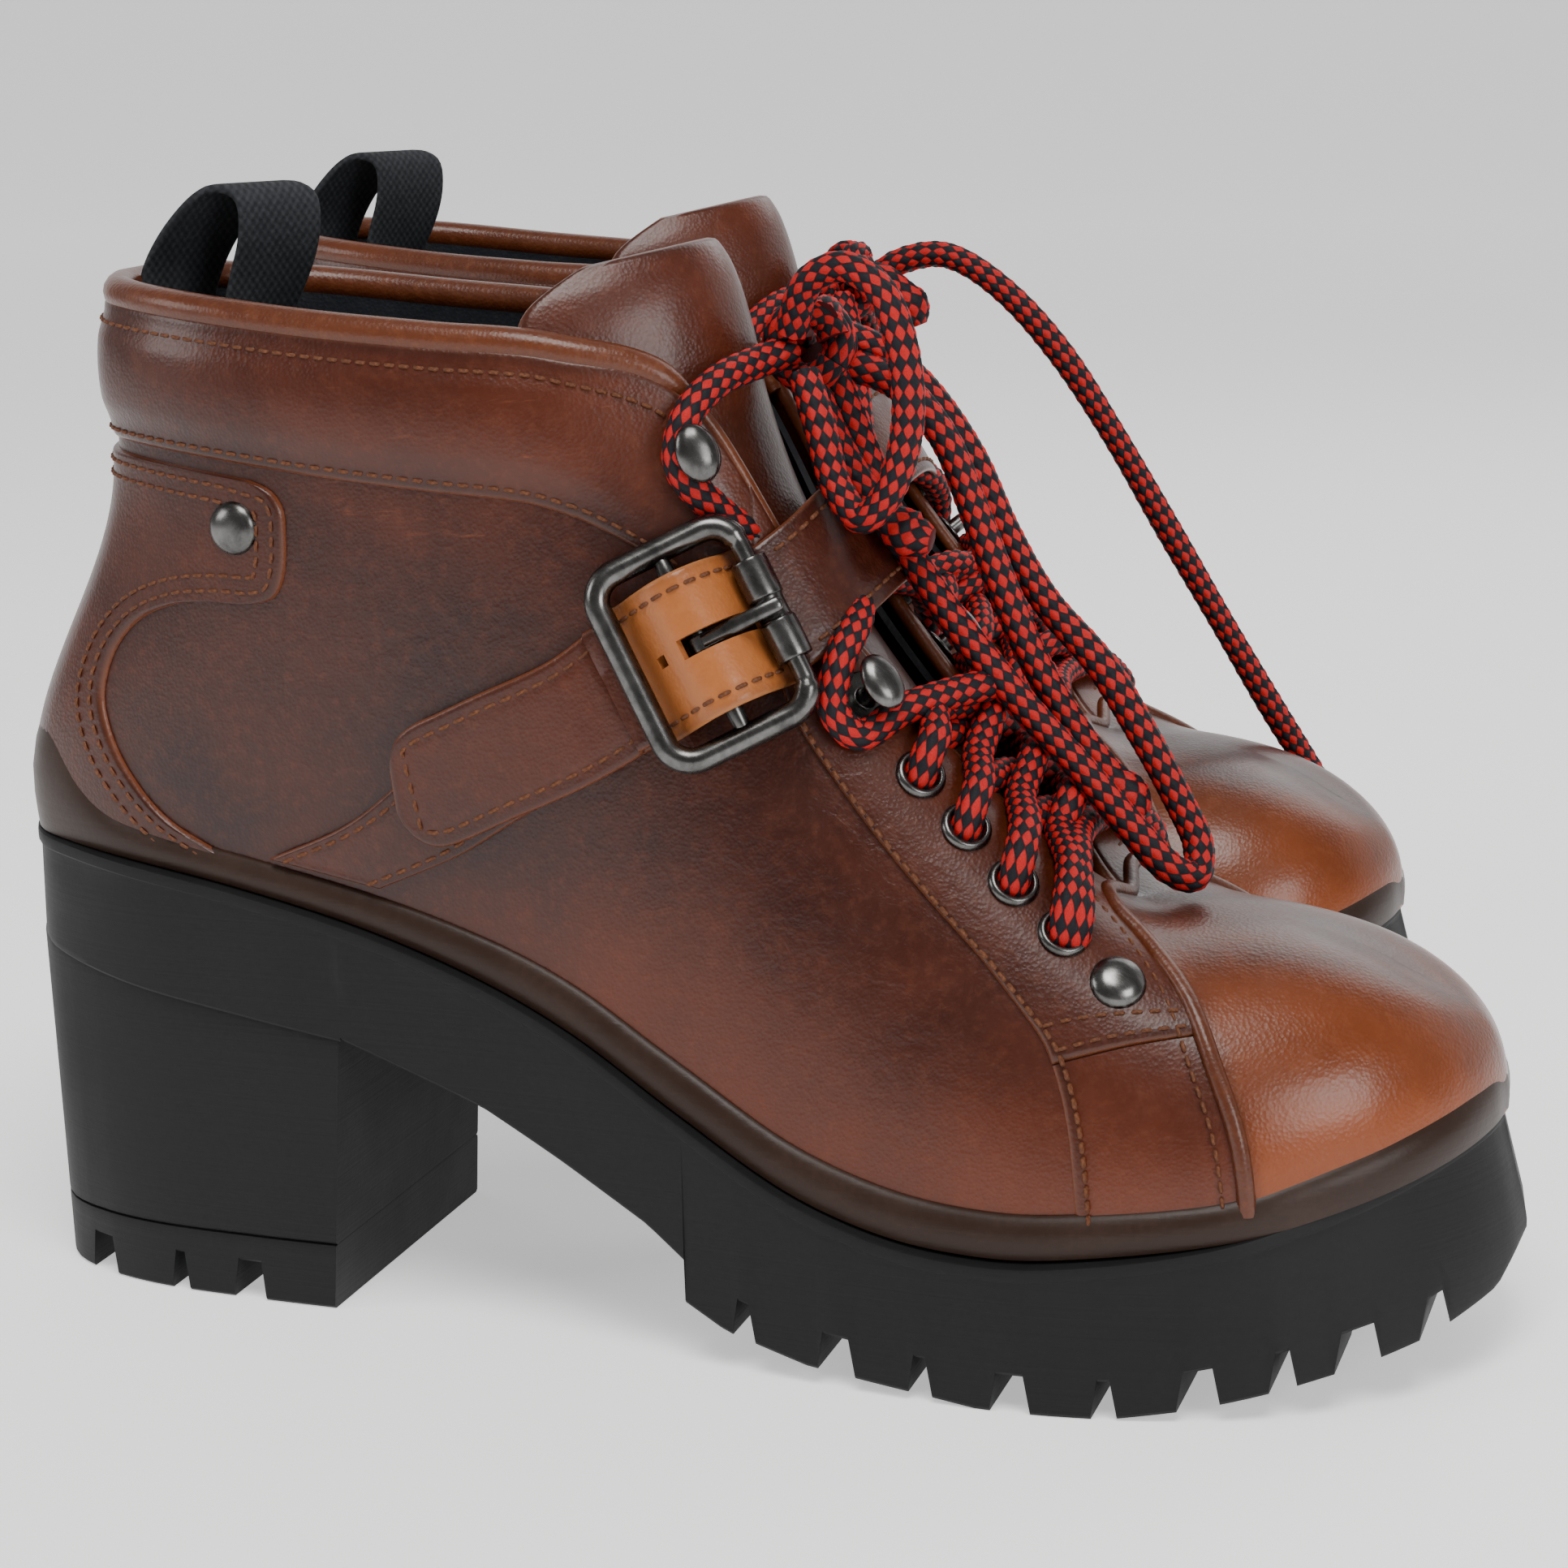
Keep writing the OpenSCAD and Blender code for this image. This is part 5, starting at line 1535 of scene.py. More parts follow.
# The free laces of each boot: name, far end and route, the routes the CAD follows
FREE_LACES: dict[str, list[tuple[str, str, list[list[float]]]]] = {
    "right": [
        ("loop_short", "object", [
            [153, -6, 172], [157, -9, 180], [164, -11, 183], [171, -13, 179], [175, -15, 170],
            [176, -16, 158], [173, -17, 147], [168, -17, 142], [163, -15, 147],
            [160, -13, 156], [156, -9, 165]]),
        ("loop_long", "object", [
            [157, 0, 167], [163, 0, 152], [169, -1, 138], [178, -2, 124], [189, -3, 111],
            [201, -3, 98], [211, -2, 86], [216, -1, 80.5], [219.5, 2.5, 78.5], [219.5, 6, 83],
            [216, 7.5, 90], [210, 8, 101], [202, 10, 113], [192, 11, 124], [185, 11, 136], [179, 11, 149],
            [171, 10, 161], [163, 8, 168], [157, 4, 171]]),
        ("tail_long", "knot", [
            [158, 4, 166], [168, 5, 162], [176, 5, 153], [181, 5, 141], [186, 4, 128],
            [192, 4, 114], [200, 4, 101], [207, 4, 92], [210, 4, 88]]),
        ("tail_short", "knot", [
            [156, -4, 162], [161, -6, 152], [167, -7, 143], [173, -7, 138], [177, -7, 137]])],
    "left": [
        ("tail_long", "knot", [
            [158, -3, 168], [166, -4, 173], [176, -4, 174], [188, -3, 167], [199, -6, 154],
            [209, -10, 137], [220, -14, 116], [231, -18, 95], [241, -22, 76],
            [251, -30, 56], [259, -36, 38], [264, -42, 20], [267, -50, 8], [268, -62, 4],
            [262, -74, 3.9], [252, -80, 4.1]]),
        ("loop_front", "object", [
            [156, -4, 168], [161, -9, 163], [163, -13, 155], [162, -18, 149],
            [158, -23, 147], [154, -24, 151], [153, -20, 158], [153, -12, 165]]),
        ("loop_back", "object", [
            [156, 7, 166], [160, 14, 158], [163, 21, 149], [166, 28, 138], [168, 33, 126],
            [170, 38, 114], [164, 40, 110], [160, 38, 119], [157, 34, 131],
            [155, 29, 143], [152, 20, 155], [150, 11, 165]])]}
# The left boot's other end is too short to hang: it is one stub out of the knot
STUB = [[158, 3, 170], [164, 3, 170], [169, 3, 165], [171, 3, 160]]
EYELETS = [[0.682, 0.63], [0.655, 0.70], [0.628, 0.76], [0.601, 0.80]]
HOOKS = [[0.566, 0.86], [0.456, 0.90]]
STUDS = [[0.708, 0.545], [0.163, 0.637]]


@dataclass
class Laces:
    """The laces of one boot: free loops and tails, and the strands that hold the throat."""

    boot: Boot
    radius: float = 2.75
    sides: int = 32
    step: float = 0.62
    knot: tuple[float, float, float] = (153.0, -1.0, 169.0)

    def braid(self, points: Sequence[Sequence[float]] | Array,
              ends_in_knot: bool = False) -> tuple[Skin, Array]:
        """A length of lace through points.

        Each strand stands out from the round by the product of two sines that run round
        and along the lace; the last few millimetres swell where the end is knotted.

        Args:
            points: The places it passes through.
            ends_in_knot: Whether its end is tied.

        Returns:
            The lace and its centre line.
        """
        path = flow(points, self.step)
        run = distance(path)
        turn = np.arange(self.sides) / self.sides
        weave = Finish.LACE.value.diamonds(turn[None, :], run[:, None])**0.6
        radius = self.radius * (0.90 + 0.13 * weave)
        radius = radius * (1 + 0.035 * np.sin(run / 7.3 + path[0, 0]))[:, None]
        if ends_in_knot:
            back = (run[-1] - run)[:, None]
            bulge = np.exp(-((back - 4.6) / 3.0)**2)
            ribs = 1 + 0.10 * np.sin(2 * np.pi * (turn[None, :] * 2 + run[:, None] / 3.2))
            radius = radius * (1 + 0.52 * bulge * ribs - 0.25 * ease(1 - back / 1.2))
        return tube(path, radius, self.sides), path

    def free(self, name: str, far_end: str, route: list[list[float]]) -> None:
        """One free loop or tail.

        Args:
            name: Name of the piece and of its CAD node.
            far_end: What is on its far end.
            route: The points it passes through.
        """
        skin, path = self.braid(route, far_end == "knot")
        piece = self.boot.make(name, skin, Finish.LACE, "lace_fabric", [name], sharp=80)
        line = self.boot.metres(path)
        on_floor = name == "tail_long" and self.boot.name == "left"

    def from_eyelet(self, side: float, hole: int) -> list[list[float]]:
        """The first stretch of a strand: up through an eyelet and over the throat's edge.

        Args:
            side: The side it starts on.
            hole: Number of the eyelet, from the toe up.

        Returns:
            The points it passes through.
        """
        u, v = EYELETS[hole]
        places = [(u, v, -1.6), (u, v, 1.0), (u, v + 0.045, 4.1), (u + 0.002, 0.5 * (v + 1.0), 4.3),
                  (u + 0.002, 1.0, 3.3)]
        return [list(LAST.over(side, np.array(a), np.array(b), c)) for a, b, c in places]

    def under_edge(self, side: float, u: float) -> list[list[float]]:
        """The last stretch of a strand: down past the throat's edge and under the facing."""
        return [list(LAST.over(side, np.array(u + a), np.array(b), c))
                for a, b, c in [(0.006, 1.0, 0.4), (0.0, 0.965, -3.2), (-0.004, 0.90, -5.0)]]

    def middle(self, u: float, lift: float, y: float = 0.0) -> list[float]:
        """A place over the middle of the throat at u, lifted square to the throat line."""
        edge = LAST.wall(INNER, np.array(u), np.array(1.0))
        return [edge[0] + 0.75 * lift, y, edge[2] + 0.66 * lift]

    def strands(self) -> list[Array]:
        """Every strand that crosses the throat, from the lowest bar up to the knot.

        Returns:
            The points of each strand.
        """
        u0, v0 = EYELETS[0]
        low = [list(LAST.over(s, np.array(u0 + 0.006), np.array(v), h))
               for s, v, h in ((OUTER, v0, -1.6), (OUTER, v0, 1.0), (OUTER, v0 + 0.05, 3.9),
                               (OUTER, 0.86, 4.3))]
        low += [self.middle(u0 + 0.01, 4.2, -6), self.middle(u0 + 0.01, 4.2, 6)]
        low += [list(LAST.over(INNER, np.array(u0 + 0.006), np.array(v), h))
                for v, h in ((0.86, 4.3), (v0 + 0.05, 3.9), (v0, 1.0), (v0, -1.6))]
        lines = [low]
        for hole in range(3):
            for side in (OUTER, INNER):
                u = EYELETS[hole][0]
                up = 6.6 if side == OUTER else 1.0
                over = [self.middle(u - 0.008, up, side * 3.0), self.middle(u - 0.013, up, -side * 4.0)]
                lines.append(self.from_eyelet(side, hole) + over + self.under_edge(-side, u - 0.020))
        for side in (OUTER, INNER):
            top = 5.6 if side == OUTER else 0.2
            over = 5.2 if side == OUTER else 0.0
            first = self.from_eyelet(-side, 3)
            route = [[183 + 0.75 * top - 1, 0, 108 + 0.66 * top], [180.5, 11 * side, 111.5],
                     [175, 20.5 * side, 110.5], [169.5, 27.5 * side, 107.5],
                     [165.8, 29.2 * side, 112.5], [166.5, 26.5 * side, 120], [167, 18 * side, 125.5],
                     [164.5, 8 * side, 128 + 0.3 * over], [161 + 0.75 * over, 0, 129.5 + 0.66 * over],
                     [157.5, -10 * side, 133.5], [150.5, -19 * side, 138.5], [144.5, -26.2 * side, 145.5],
                     [140.6, -29.5 * side, 152.5], [141.6, -27.5 * side, 160],
                     [144.5, -20 * side, 165], [148, -11 * side, 167], [152, -4 * side, 168.5]]
            lines.append(first + route)
        return [np.asarray(line) for line in lines]

    def bow_knot(self) -> list[Array]:
        """The knot: short turns of lace, each a tilted ring that weaves from side to side.

        Returns:
            The points of each turn.
        """
        centre = np.array(self.knot)
        turns = []
        for radius, tilt, start, sweep, shift in ((4.9, 0.25, 0.2, 5.6, (1.5, -1.6, 0.2)),
                                                  (4.6, -0.5, 2.6, 5.0, (2.3, 3.2, -0.6)),
                                                  (3.6, 1.15, 4.0, 4.4, (4.2, 0.8, 1.6))):
            a = np.linspace(start, start + sweep, 14)
            flat = np.stack([np.cos(a) * radius, 1.1 * np.sin(2 * a), np.sin(a) * radius * 1.15], -1)
            spin = np.array([[math.cos(tilt), -math.sin(tilt), 0],
                             [math.sin(tilt), math.cos(tilt), 0], [0, 0, 1]])
            turns.append(centre + np.array(shift) + flat @ spin.T)
        return turns

    def build(self) -> None:
        """Builds the free laces first, then the strands that hold."""
        for name, far_end, route in FREE_LACES[self.boot.name]:
            self.free(name, far_end, route)
        held = [self.braid(line)[0] for line in self.strands() + self.bow_knot()]
        nodes = ["lace"]
        if self.boot.name == "left":
            held.append(self.braid(STUB, True)[0])
            nodes.append("tail_short")
        self.boot.make("lace", joined(held), Finish.LACE, "lace_fabric", nodes, sharp=80)


# ---- strap, buckle and hardware

BASE_ROWS = [[.297, .08, .212, .07, .4], [.343, .18, .253, .17, .4], [.372, .26, .285, .277, .4],
             [.400, .34, .330, .41, .4], [.440, .43, .385, .52, .4], [.472, .53, .430, .645, .9],
             [.486, .565, .447, .665, 1.5]]
BILLET_ROWS = [[.294, .235, .290, .285, 2.0], [.318, .190, .297, .355, 2.0], [.360, .27, .338, .435, 2.0],
               [.400, .345, .378, .505, 2.0], [.438, .43, .402, .555, 2.1]]
INNER_ROWS = [[.535, .73, .480, .86, 2.2], [.505, .60, .447, .73, 1.4], [.465, .49, .408, .62, 1.0],
              [.425, .40, .365, .51, .6], [.385, .31, .320, .40, .5], [.345, .20, .270, .27, .5],
              [.318, .10, .240, .12, .5]]
ARCH = [[-16.6, -5.9], [-12.8, -4.9], [-9.2, -3.2], [-5.6, 1.0], [-2.8, 3.7], [0.2, 4.5], [3.2, 3.6],
        [6.2, 0.8], [8.2, -2.4], [10.6, -4.5], [13.4, -4.8], [17.5, -4.8]]
OVER_ROWS = [[156.4, -26, 128.4, -.47, .11, .87], [160.5, -21, 132, -.48, .1, .87],
             [163.5, -12, 136, -.5, .05, .86], [164.5, 0, 138, -.51, 0, .86],
             [163, 12, 135.5, -.5, -.05, .86], [159.5, 21, 131, -.48, -.1, .87]]


# The middle of the buckle's bar, and the buckle's axes: along the strap, across it and out
BUCKLE_AT = np.array([145.5, -35.2, 123.6])
BUCKLE_AXES = turned(73, -24, 23.5)


@dataclass
class Strap:
    """The strap round the instep: its base with the buckle, and the billet through it."""

    boot: Boot
    width: float = 22.0
    thick: float = 1.5

    def on_wall(self, rows: list[list[float]], side: float) -> Array:
        """Stations of a strap that lies on the wall.

        Args:
            rows: The place u, v of its lower edge, that of its upper edge, and its height.
            side: The side it lies on.

        Returns:
            Centre, direction across and direction out of each station.
        """
        r = np.asarray(rows, float)
        low = LAST.over(side, r[:, 0], r[:, 1], r[:, 4])
        high = LAST.over(side, r[:, 2], r[:, 3], r[:, 4])
        out = LAST.normal(side, 0.5 * (r[:, 0] + r[:, 2]), 0.5 * (r[:, 1] + r[:, 3]))
        return np.concatenate([0.5 * (low + high), unit(high - low), out], -1)

    def in_buckle(self, rows: list[list[float]]) -> Array:
        """Stations of a strap that runs through the buckle.

        Args:
            rows: Places along and out, in the buckle's own axes.

        Returns:
            Centre, direction across and direction out of each station.
        """
        r = np.asarray(rows, float)
        a, b, n = BUCKLE_AXES
        centre = BUCKLE_AT + r[:, :1] * a + r[:, 1:] * n
        slope = np.gradient(r, axis=0)
        out = unit(-slope[:, 1:] * a + slope[:, :1] * n)
        return np.concatenate([centre, np.tile(b, (len(r), 1)), out], -1)

    def band(self, stations: Array, step: float, tip: bool = False, holes: Sequence[tuple[float, ...]] = (),
             warmth: float = 0.2, wider: float = 0.0) -> tuple[Skin, dict[str, Array]]:
        """A strap along stations, with rounded edges, an optional round tip and holes.

        Args:
            stations: Centre, direction across and direction out of each station.
            step: Distance between the rows.
            tip: Whether the first end is rounded off.
            holes: Start and end along the strap, and low and high across it.
            warmth: Tone of its leather.
            wider: Added to its width.

        Returns:
            The strap, and its centre line, directions and running distance.
        """
        run = distance(stations[:, :3])
        marks = [m for h in holes for m in h[:2]]
        where = np.unique(np.concatenate([np.arange(0, run[-1], step), [run[-1], 0.12, 0.5, 1.1, 1.9],
                                          run[-1] - np.array([0.12, 0.5, 1.1]), marks]))
        rows = rows_at(np.column_stack([run, stations]), where)[:, 1:]
        centre, across = rows[:, :3], unit(rows[:, 3:6])
        along = unit(np.gradient(centre, axis=0))
        out = unit(np.cross(across, along))
        out = out * np.sign((out * rows[:, 6:9]).sum(-1, keepdims=True))
        half = np.full(len(where), (self.width + wider) / 2)
        if tip:
            half = half * (1 - np.clip(1 - where / 10.0, 0, 1)**2.6)**(1 / 2.6)
            half = np.maximum(half, 1.0)
        share = np.concatenate([[-1, -.985, -.95, -.88], np.linspace(-.78, .78, 15), [.88, .95, .985, 1]])
        marks = [m / float(half.max()) for h in holes for m in h[2:]]
        share = np.unique(np.concatenate([share, marks]))
        y = half[:, None] * share[None, :]
        far = np.minimum(half[:, None] - np.abs(y), np.minimum(where, run[-1] - where)[:, None])
        edge = np.sqrt(np.maximum(1 - (1 - np.clip(far / 0.9, 0, 1))**2, 0))
        flat = centre[:, None] + across[:, None] * y[..., None]
        groove = 0.16 * np.exp(-((far - 2.7) / 0.8)**2)
        top = flat + out[:, None] * (self.thick * (0.5 + 0.5 * edge) - groove)[..., None]
        low = flat + out[:, None] * (self.thick * 0.5 * (1 - edge))[..., None]
        wear = np.stack([np.clip(far / 2.6, 0, 1), np.full(far.shape, warmth),
                         np.full(far.shape, 0.35)], -1)
        skin = closed_sheet(top, low, wear)
        count, cols = top.shape[0] * top.shape[1], top.shape[1]
        quads = skin.faces[0]
        for start, end, left, right in holes:
            i = [int(np.argmin(np.abs(where - m))) for m in (start, end)]
            j = [int(np.argmin(np.abs(share * float(half.max()) - m))) for m in (left, right)]
            row, col = (quads % count) // cols, (quads % count) % cols
            inside = ((row >= i[0]) & (row <= i[1]) & (col >= j[0]) & (col <= j[1])).all(1)
            quads = quads[~inside]
            ids = np.arange(count).reshape(-1, cols)
            rim = np.concatenate([ids[i[0], j[0]:j[1]], ids[i[0]:i[1], j[1]],
                                  ids[i[1], j[1]:j[0]:-1], ids[i[1]:i[0]:-1, j[0]]])
            nxt = np.roll(rim, -1)
            quads = np.concatenate([quads, np.stack([rim, rim + count, nxt + count, nxt], -1)])
        return (Skin(skin.points, [quads], wear=skin.wear),
                {"centre": centre, "across": across, "out": out, "run": where, "half": half})

    def edge_rows(self, line: dict[str, Array], inset: float = 2.7, start: float = 0.0, end: float = 0.0,
                  round_tip: bool = False) -> Skin:
        """Stitches along both edges of a strap, and round its tip if it has one.

        Args:
            line: The strap's centre line, directions, running distance and half width.
            inset: Distance of the stitches from the edge.
            start: Where they start along the strap.
            end: How far before its end they stop.
            round_tip: Whether they run round its first end.

        Returns:
            The stitches.
        """
        keep = (line["run"] >= start) & (line["run"] <= line["run"][-1] - end)
        rows = []
        for sign in (-1, 1):
            y = sign * (line["half"][keep] - inset)
            flat = line["centre"][keep] + line["across"][keep] * y[:, None]
            out = line["out"][keep]
            rows.append((flat + out * (self.thick - 0.1), out))
        skins = []
        if round_tip:
            first = (rows[0][0][::-1], rows[0][1][::-1])
            skins.append(stitches(np.concatenate([first[0], rows[1][0]]),
                                  np.concatenate([first[1], rows[1][1]]), 3.1, 2.4, 0.36))
        else:
            skins = [stitches(p, n, 3.1, 2.4, 0.36) for p, n in rows]
        return joined(skins)

    def fold(self, middle: float) -> Skin:
        """Where the base strap folds round the buckle's bar, on one side of the prong.

        Args:
            middle: Its middle along the bar.

        Returns:
            A hollow barrel about the bar.
        """
        a, b, n = BUCKLE_AXES
        y = middle + np.array([-4.0, -3.9, -3.4, 0.0, 3.4, 3.9, 4.0])
        r = np.array([2.5, 2.9, 3.15, 3.2, 3.15, 2.9, 2.5])
        profile = np.concatenate([np.stack([r, y], -1), [[2.0, y[-1]], [2.0, y[0]]]])
        turn = np.linspace(0, 2 * np.pi, 28, endpoint=False)
        spoke = np.cos(turn)[:, None] * a + np.sin(turn)[:, None] * n
        ring = BUCKLE_AT + spoke[:, None] * profile[None, :, :1] + profile[None, :, 1:] * b
        quads, _ = grid_quads(len(turn), len(profile), wrap_rows=True, wrap_cols=True)
        return Skin(ring.reshape(-1, 3), [quads]).worn(0.9, 0.3, 0.4)

    def build(self) -> None:
        """Builds the base strap, the billet in its three stretches and their stitches."""
        base, line = self.band(self.on_wall(BASE_ROWS, OUTER), 1.6, warmth=0.30)
        self.boot.make("base_strap", joined([base, self.fold(-6.2), self.fold(6.2)]), Finish.BROWN,
                       "brown_leather", ["base_strap"])
        arch = self.in_buckle(ARCH)
        core = np.asarray(ARCH)[1:-1]
        run = distance(core)
        slot = np.interp([-2.8, 9.4], core[:, 0], run)
        spare = np.interp([-6.6, -5.2], core[:, 0], run)
        billet, first = self.band(np.concatenate([self.on_wall(BILLET_ROWS, OUTER), arch[:2]]), 1.3,
                                  tip=True, warmth=0.42)
        inside, mid = self.band(arch[1:-1], 0.6, holes=[(*slot, -1.7, 1.7), (*spare, -1.0, 1.0)],
                                warmth=0.5, wider=2.6)
        o = np.asarray(OVER_ROWS, float)
        last = self.on_wall(INNER_ROWS, INNER)
        out = unit(np.cross(o[:, 3:], unit(np.gradient(o[:, :3], axis=0))))
        out = out * np.sign(out @ np.array([0.75, 0.0, 0.66]))[:, None]
        over = np.concatenate([arch[-2:-1], np.concatenate([o[:, :3], o[:, 3:], out], -1), last])
        over_skin, third = self.band(over, 1.8, warmth=0.25)
        self.boot.make("billet_strap", joined([billet, over_skin]), Finish.BROWN, "brown_leather",
                       ["billet_strap"])
        self.boot.make("billet_in_buckle", inside, Finish.TAN, "tan_leather")
        thread = [self.edge_rows(line, 2.7, 0, 8.0), self.edge_rows(first, 2.7, 2.9, 3.0, True),
                  self.edge_rows(third, 2.7, 3.0, 0)]
        self.boot.make("strap_stitches", joined(thread), Finish.THREAD, "brown_leather")
        self.boot.make("buckle_strap_stitches", self.edge_rows(mid, 2.7, 2.0, 4.0), Finish.THREAD,
                       "tan_leather")


@dataclass
class Buckle:
    """The roller buckle: wire frame with its middle bar, loose roller and prong."""

    boot: Boot
    gap: float = 12.8
    half_width: float = 17.0
    corner: float = 5.0
    wire: float = 2.2

    def set_in(self, skin: Skin) -> Skin:
        """A piece worked out in the buckle's own axes a, b, n, set in its place."""
        return Skin(BUCKLE_AT + skin.points @ BUCKLE_AXES, skin.faces, skin.uv, skin.wear)

    def hoop(self) -> Skin:
        """The frame: a closed wire along a rectangle with round corners.

        Returns:
            The wire, thinner under the roller.
        """
        g, w, r = self.gap, self.half_width, self.corner
        line = []
        for quarter, (a, b) in enumerate(((1, 1), (-1, 1), (-1, -1), (1, -1))):
            turn = np.pi / 2 * (quarter + np.linspace(0, 1, 12))
            line += [[a * (g - r) + r * math.cos(t), b * (w - r) + r * math.sin(t), 0.0] for t in turn]
        line = np.asarray(line)
        closed = np.concatenate([line, line[:1]])
        run = distance(closed)
        where = np.arange(0, run[-1], run[-1] / 150)[:150]
        path = np.stack([np.interp(where, run, closed[:, c]) for c in range(3)], -1)
        along = unit(np.roll(path, -1, 0) - np.roll(path, 1, 0))
        side = np.cross(along, [0.0, 0.0, 1.0])
        turn = 2 * np.pi * np.arange(20) / 20
        thin = np.where(path[:, 0] > g - 0.2, 0.80, 1.0)[:, None, None]
        ring = path[:, None] + self.wire * thin * (np.cos(turn)[None, :, None] * side[:, None]
                                                   + np.sin(turn)[None, :, None] * np.array([0, 0, 1.0]))
        quads, _ = grid_quads(len(path), 20, wrap_rows=True, wrap_cols=True)
        return Skin(ring.reshape(-1, 3), [quads])

    def on_bar(self, profile: Sequence[Sequence[float]], a: float, sides: int, n: int) -> Skin:
        """A profile of radius and place along, rounded by n points and turned about a bar at a."""
        return revolved(rounded(profile, n), sides, np.array([a, 0.0, 0.0]), np.array([0.0, 1.0, 0.0]))

    def blade(self) -> Skin:
        """The prong's blade: a flattened oval along a slightly bent line, rounded at its tip.

        Returns:
            The closed blade.
        """
        line = np.array([[0.4, 0, 2.5], [4.5, 0, 3.0], [9.6, 0, 3.9], [12.6, 0, 4.0], [15.0, 0, 3.75]])
        fine = flow(line, 0.4)
        share = np.linspace(0, 1, len(fine))[:, None]
        turn = 2 * np.pi * np.arange(18)[None, :] / 18
        up = np.cross(unit(np.gradient(fine, axis=0)), [0.0, 1.0, 0.0])
        up = up * np.sign(up[:, 2:3])
        round_end = np.sqrt(np.maximum(1 - np.clip((share - 0.93) / 0.07, 0, 1)**2, 0.02))
        wide = 1.3 * np.sign(np.cos(turn)) * np.abs(np.cos(turn))**0.8 * round_end
        high = 0.86 * np.sign(np.sin(turn)) * np.abs(np.sin(turn))**0.8 * round_end * (1 - 0.1 * share)
        ring = fine[:, None] + wide[..., None] * np.array([0, 1.0, 0]) + high[..., None] * up[:, None]
        quads, _ = grid_quads(len(fine), 18, wrap_cols=True)
        caps = np.stack([np.arange(18), (len(fine) - 1) * 18 + np.arange(18)[::-1]])
        return Skin(ring.reshape(-1, 3), [quads, caps])

    def build(self) -> None:
        """Builds the frame with its bar, the roller and the prong."""
        bar = self.on_bar([[0, -16.2], [1.8, -16.2], [1.8, 16.2], [0, 16.2]], 0.0, 28, 5)
        wire = joined([Skin(s.points, s.faces) for s in (self.hoop(), bar)])
        self.boot.make("buckle_frame", self.set_in(wire), Finish.METAL, "aged_metal", ["buckle_frame"])
        roller = self.on_bar([[2.05, -9], [3.0, -9.05], [3.2, -8.7], [3.2, -2.3], [3.0, -1.95],
                              [2.72, -1.9], [2.7, 1.9], [3.0, 1.95], [3.2, 2.3], [3.2, 8.7],
                              [3.0, 9.05], [2.05, 9]], self.gap, 36, 4)
        self.boot.make("buckle_roller", self.set_in(roller), Finish.METAL, "aged_metal",
                       ["buckle_roller"], part="roller", sharp=40)
        eye = self.on_bar([[1.95, -1.4], [3.0, -1.4], [3.1, -1.2], [3.1, 1.2], [3.0, 1.4],
                           [1.95, 1.4]], 0.0, 28, 4)
        self.boot.make("buckle_prong", self.set_in(joined([eye, self.blade()])), Finish.METAL,
                       "aged_metal", ["buckle_prong"], part="prong", sharp=40)


@dataclass
class Hardware:
    """Eyelets, lace hooks and studs on both sides."""

    boot: Boot

    def spot(self, side: float, u: float, v: float) -> tuple[Array, Array]:
        """A place on the wall and the direction out of it."""
        return (LAST.wall(side, np.array(u), np.array(v)), LAST.normal(side, np.array(u), np.array(v)))

    def oval(self, skin: Skin, centre: Array, axis: Array, long: Array, wide: float, tall: float) -> Skin:
        """A turned piece stretched into an oval across its axis.

        Args:
            skin: The piece.
            centre: A point on its axis.
            axis: Its axis.
            long: Direction that the long side of the oval is nearest to.
            wide: Factor across the long side.
            tall: Factor along it.

        Returns:
            The stretched piece.
        """
        long = unit(long - axis * float(long @ axis))
        short = np.cross(axis, long)
        axes = np.stack([axis, long, short])
        return Skin(centre + (skin.points - centre) @ axes.T * [1.0, tall, wide] @ axes, skin.faces)

    def build(self) -> None:
        """Builds all the small metal, and near-black discs of painted shade inside the eyelets."""
        rings, shade_discs, hooks, studs = [], [], [], []
        up = np.array([-0.33, 0.0, 1.0])
        ring = rounded([[4.35, 0.7], [4.5, 1.35], [4.15, 2.0], [3.55, 2.25], [3.05, 1.95], [2.85, 1.3],
                        [2.85, 0.4], [3.4, 0.4], [4.35, 0.7]], 4)[:-1]
        # A near-black disc of painted shade that fills each eyelet's hole round the lace
        well = np.array([[0.0, 1.22], [2.0, 1.25], [3.1, 1.3], [3.1, 0.9], [0.0, 0.9]])
        washer = rounded([[0, 0.9], [4.8, 0.9], [5.0, 1.3], [4.7, 1.75], [3.4, 1.9], [1.8, 1.7],
                          [1.7, 2.4], [1.6, 8.3], [0, 8.3]], 4)
        head = rounded([[0, 7.9], [3.6, 8.0], [4.6, 8.5], [4.1, 9.5], [2.6, 10.3], [0, 10.6]], 6)
        dome = rounded([[0, 0.3], [4.6, 0.3], [4.8, 0.9], [4.3, 2.0], [2.6, 3.0], [0, 3.3]], 6)
        for side in (OUTER, INNER):
            for u, v in EYELETS:
                at, out = self.spot(side, u, v)
                rings.append(revolved(ring, 30, at, out))
                shade_discs.append(revolved(well, 20, at, out))
            for u, v in HOOKS:
                at, out = self.spot(side, u, v)
                hooks.append(revolved(washer, 28, at, out))
                hooks.append(self.oval(revolved(head, 28, at, out), at, out, up, 0.80, 1.12))
            for u, v in STUDS:
                studs.append(revolved(dome, 28, *self.spot(side, u, v)))
        self.boot.make("eyelets", joined(rings), Finish.METAL, "aged_metal", ["eyelets"], sharp=45)
        # Painted shade: near-black discs inside the eyelets
        self.boot.make("eyelet_shade_discs", joined(shade_discs), Finish.PAINTED_SHADE, "aged_metal", sharp=45)
        self.boot.make("lace_hooks", joined(hooks), Finish.METAL, "aged_metal", ["lace_hooks"], sharp=45)
        self.boot.make("studs", joined(studs), Finish.METAL, "aged_metal", ["studs"], sharp=45)


# ---- studio

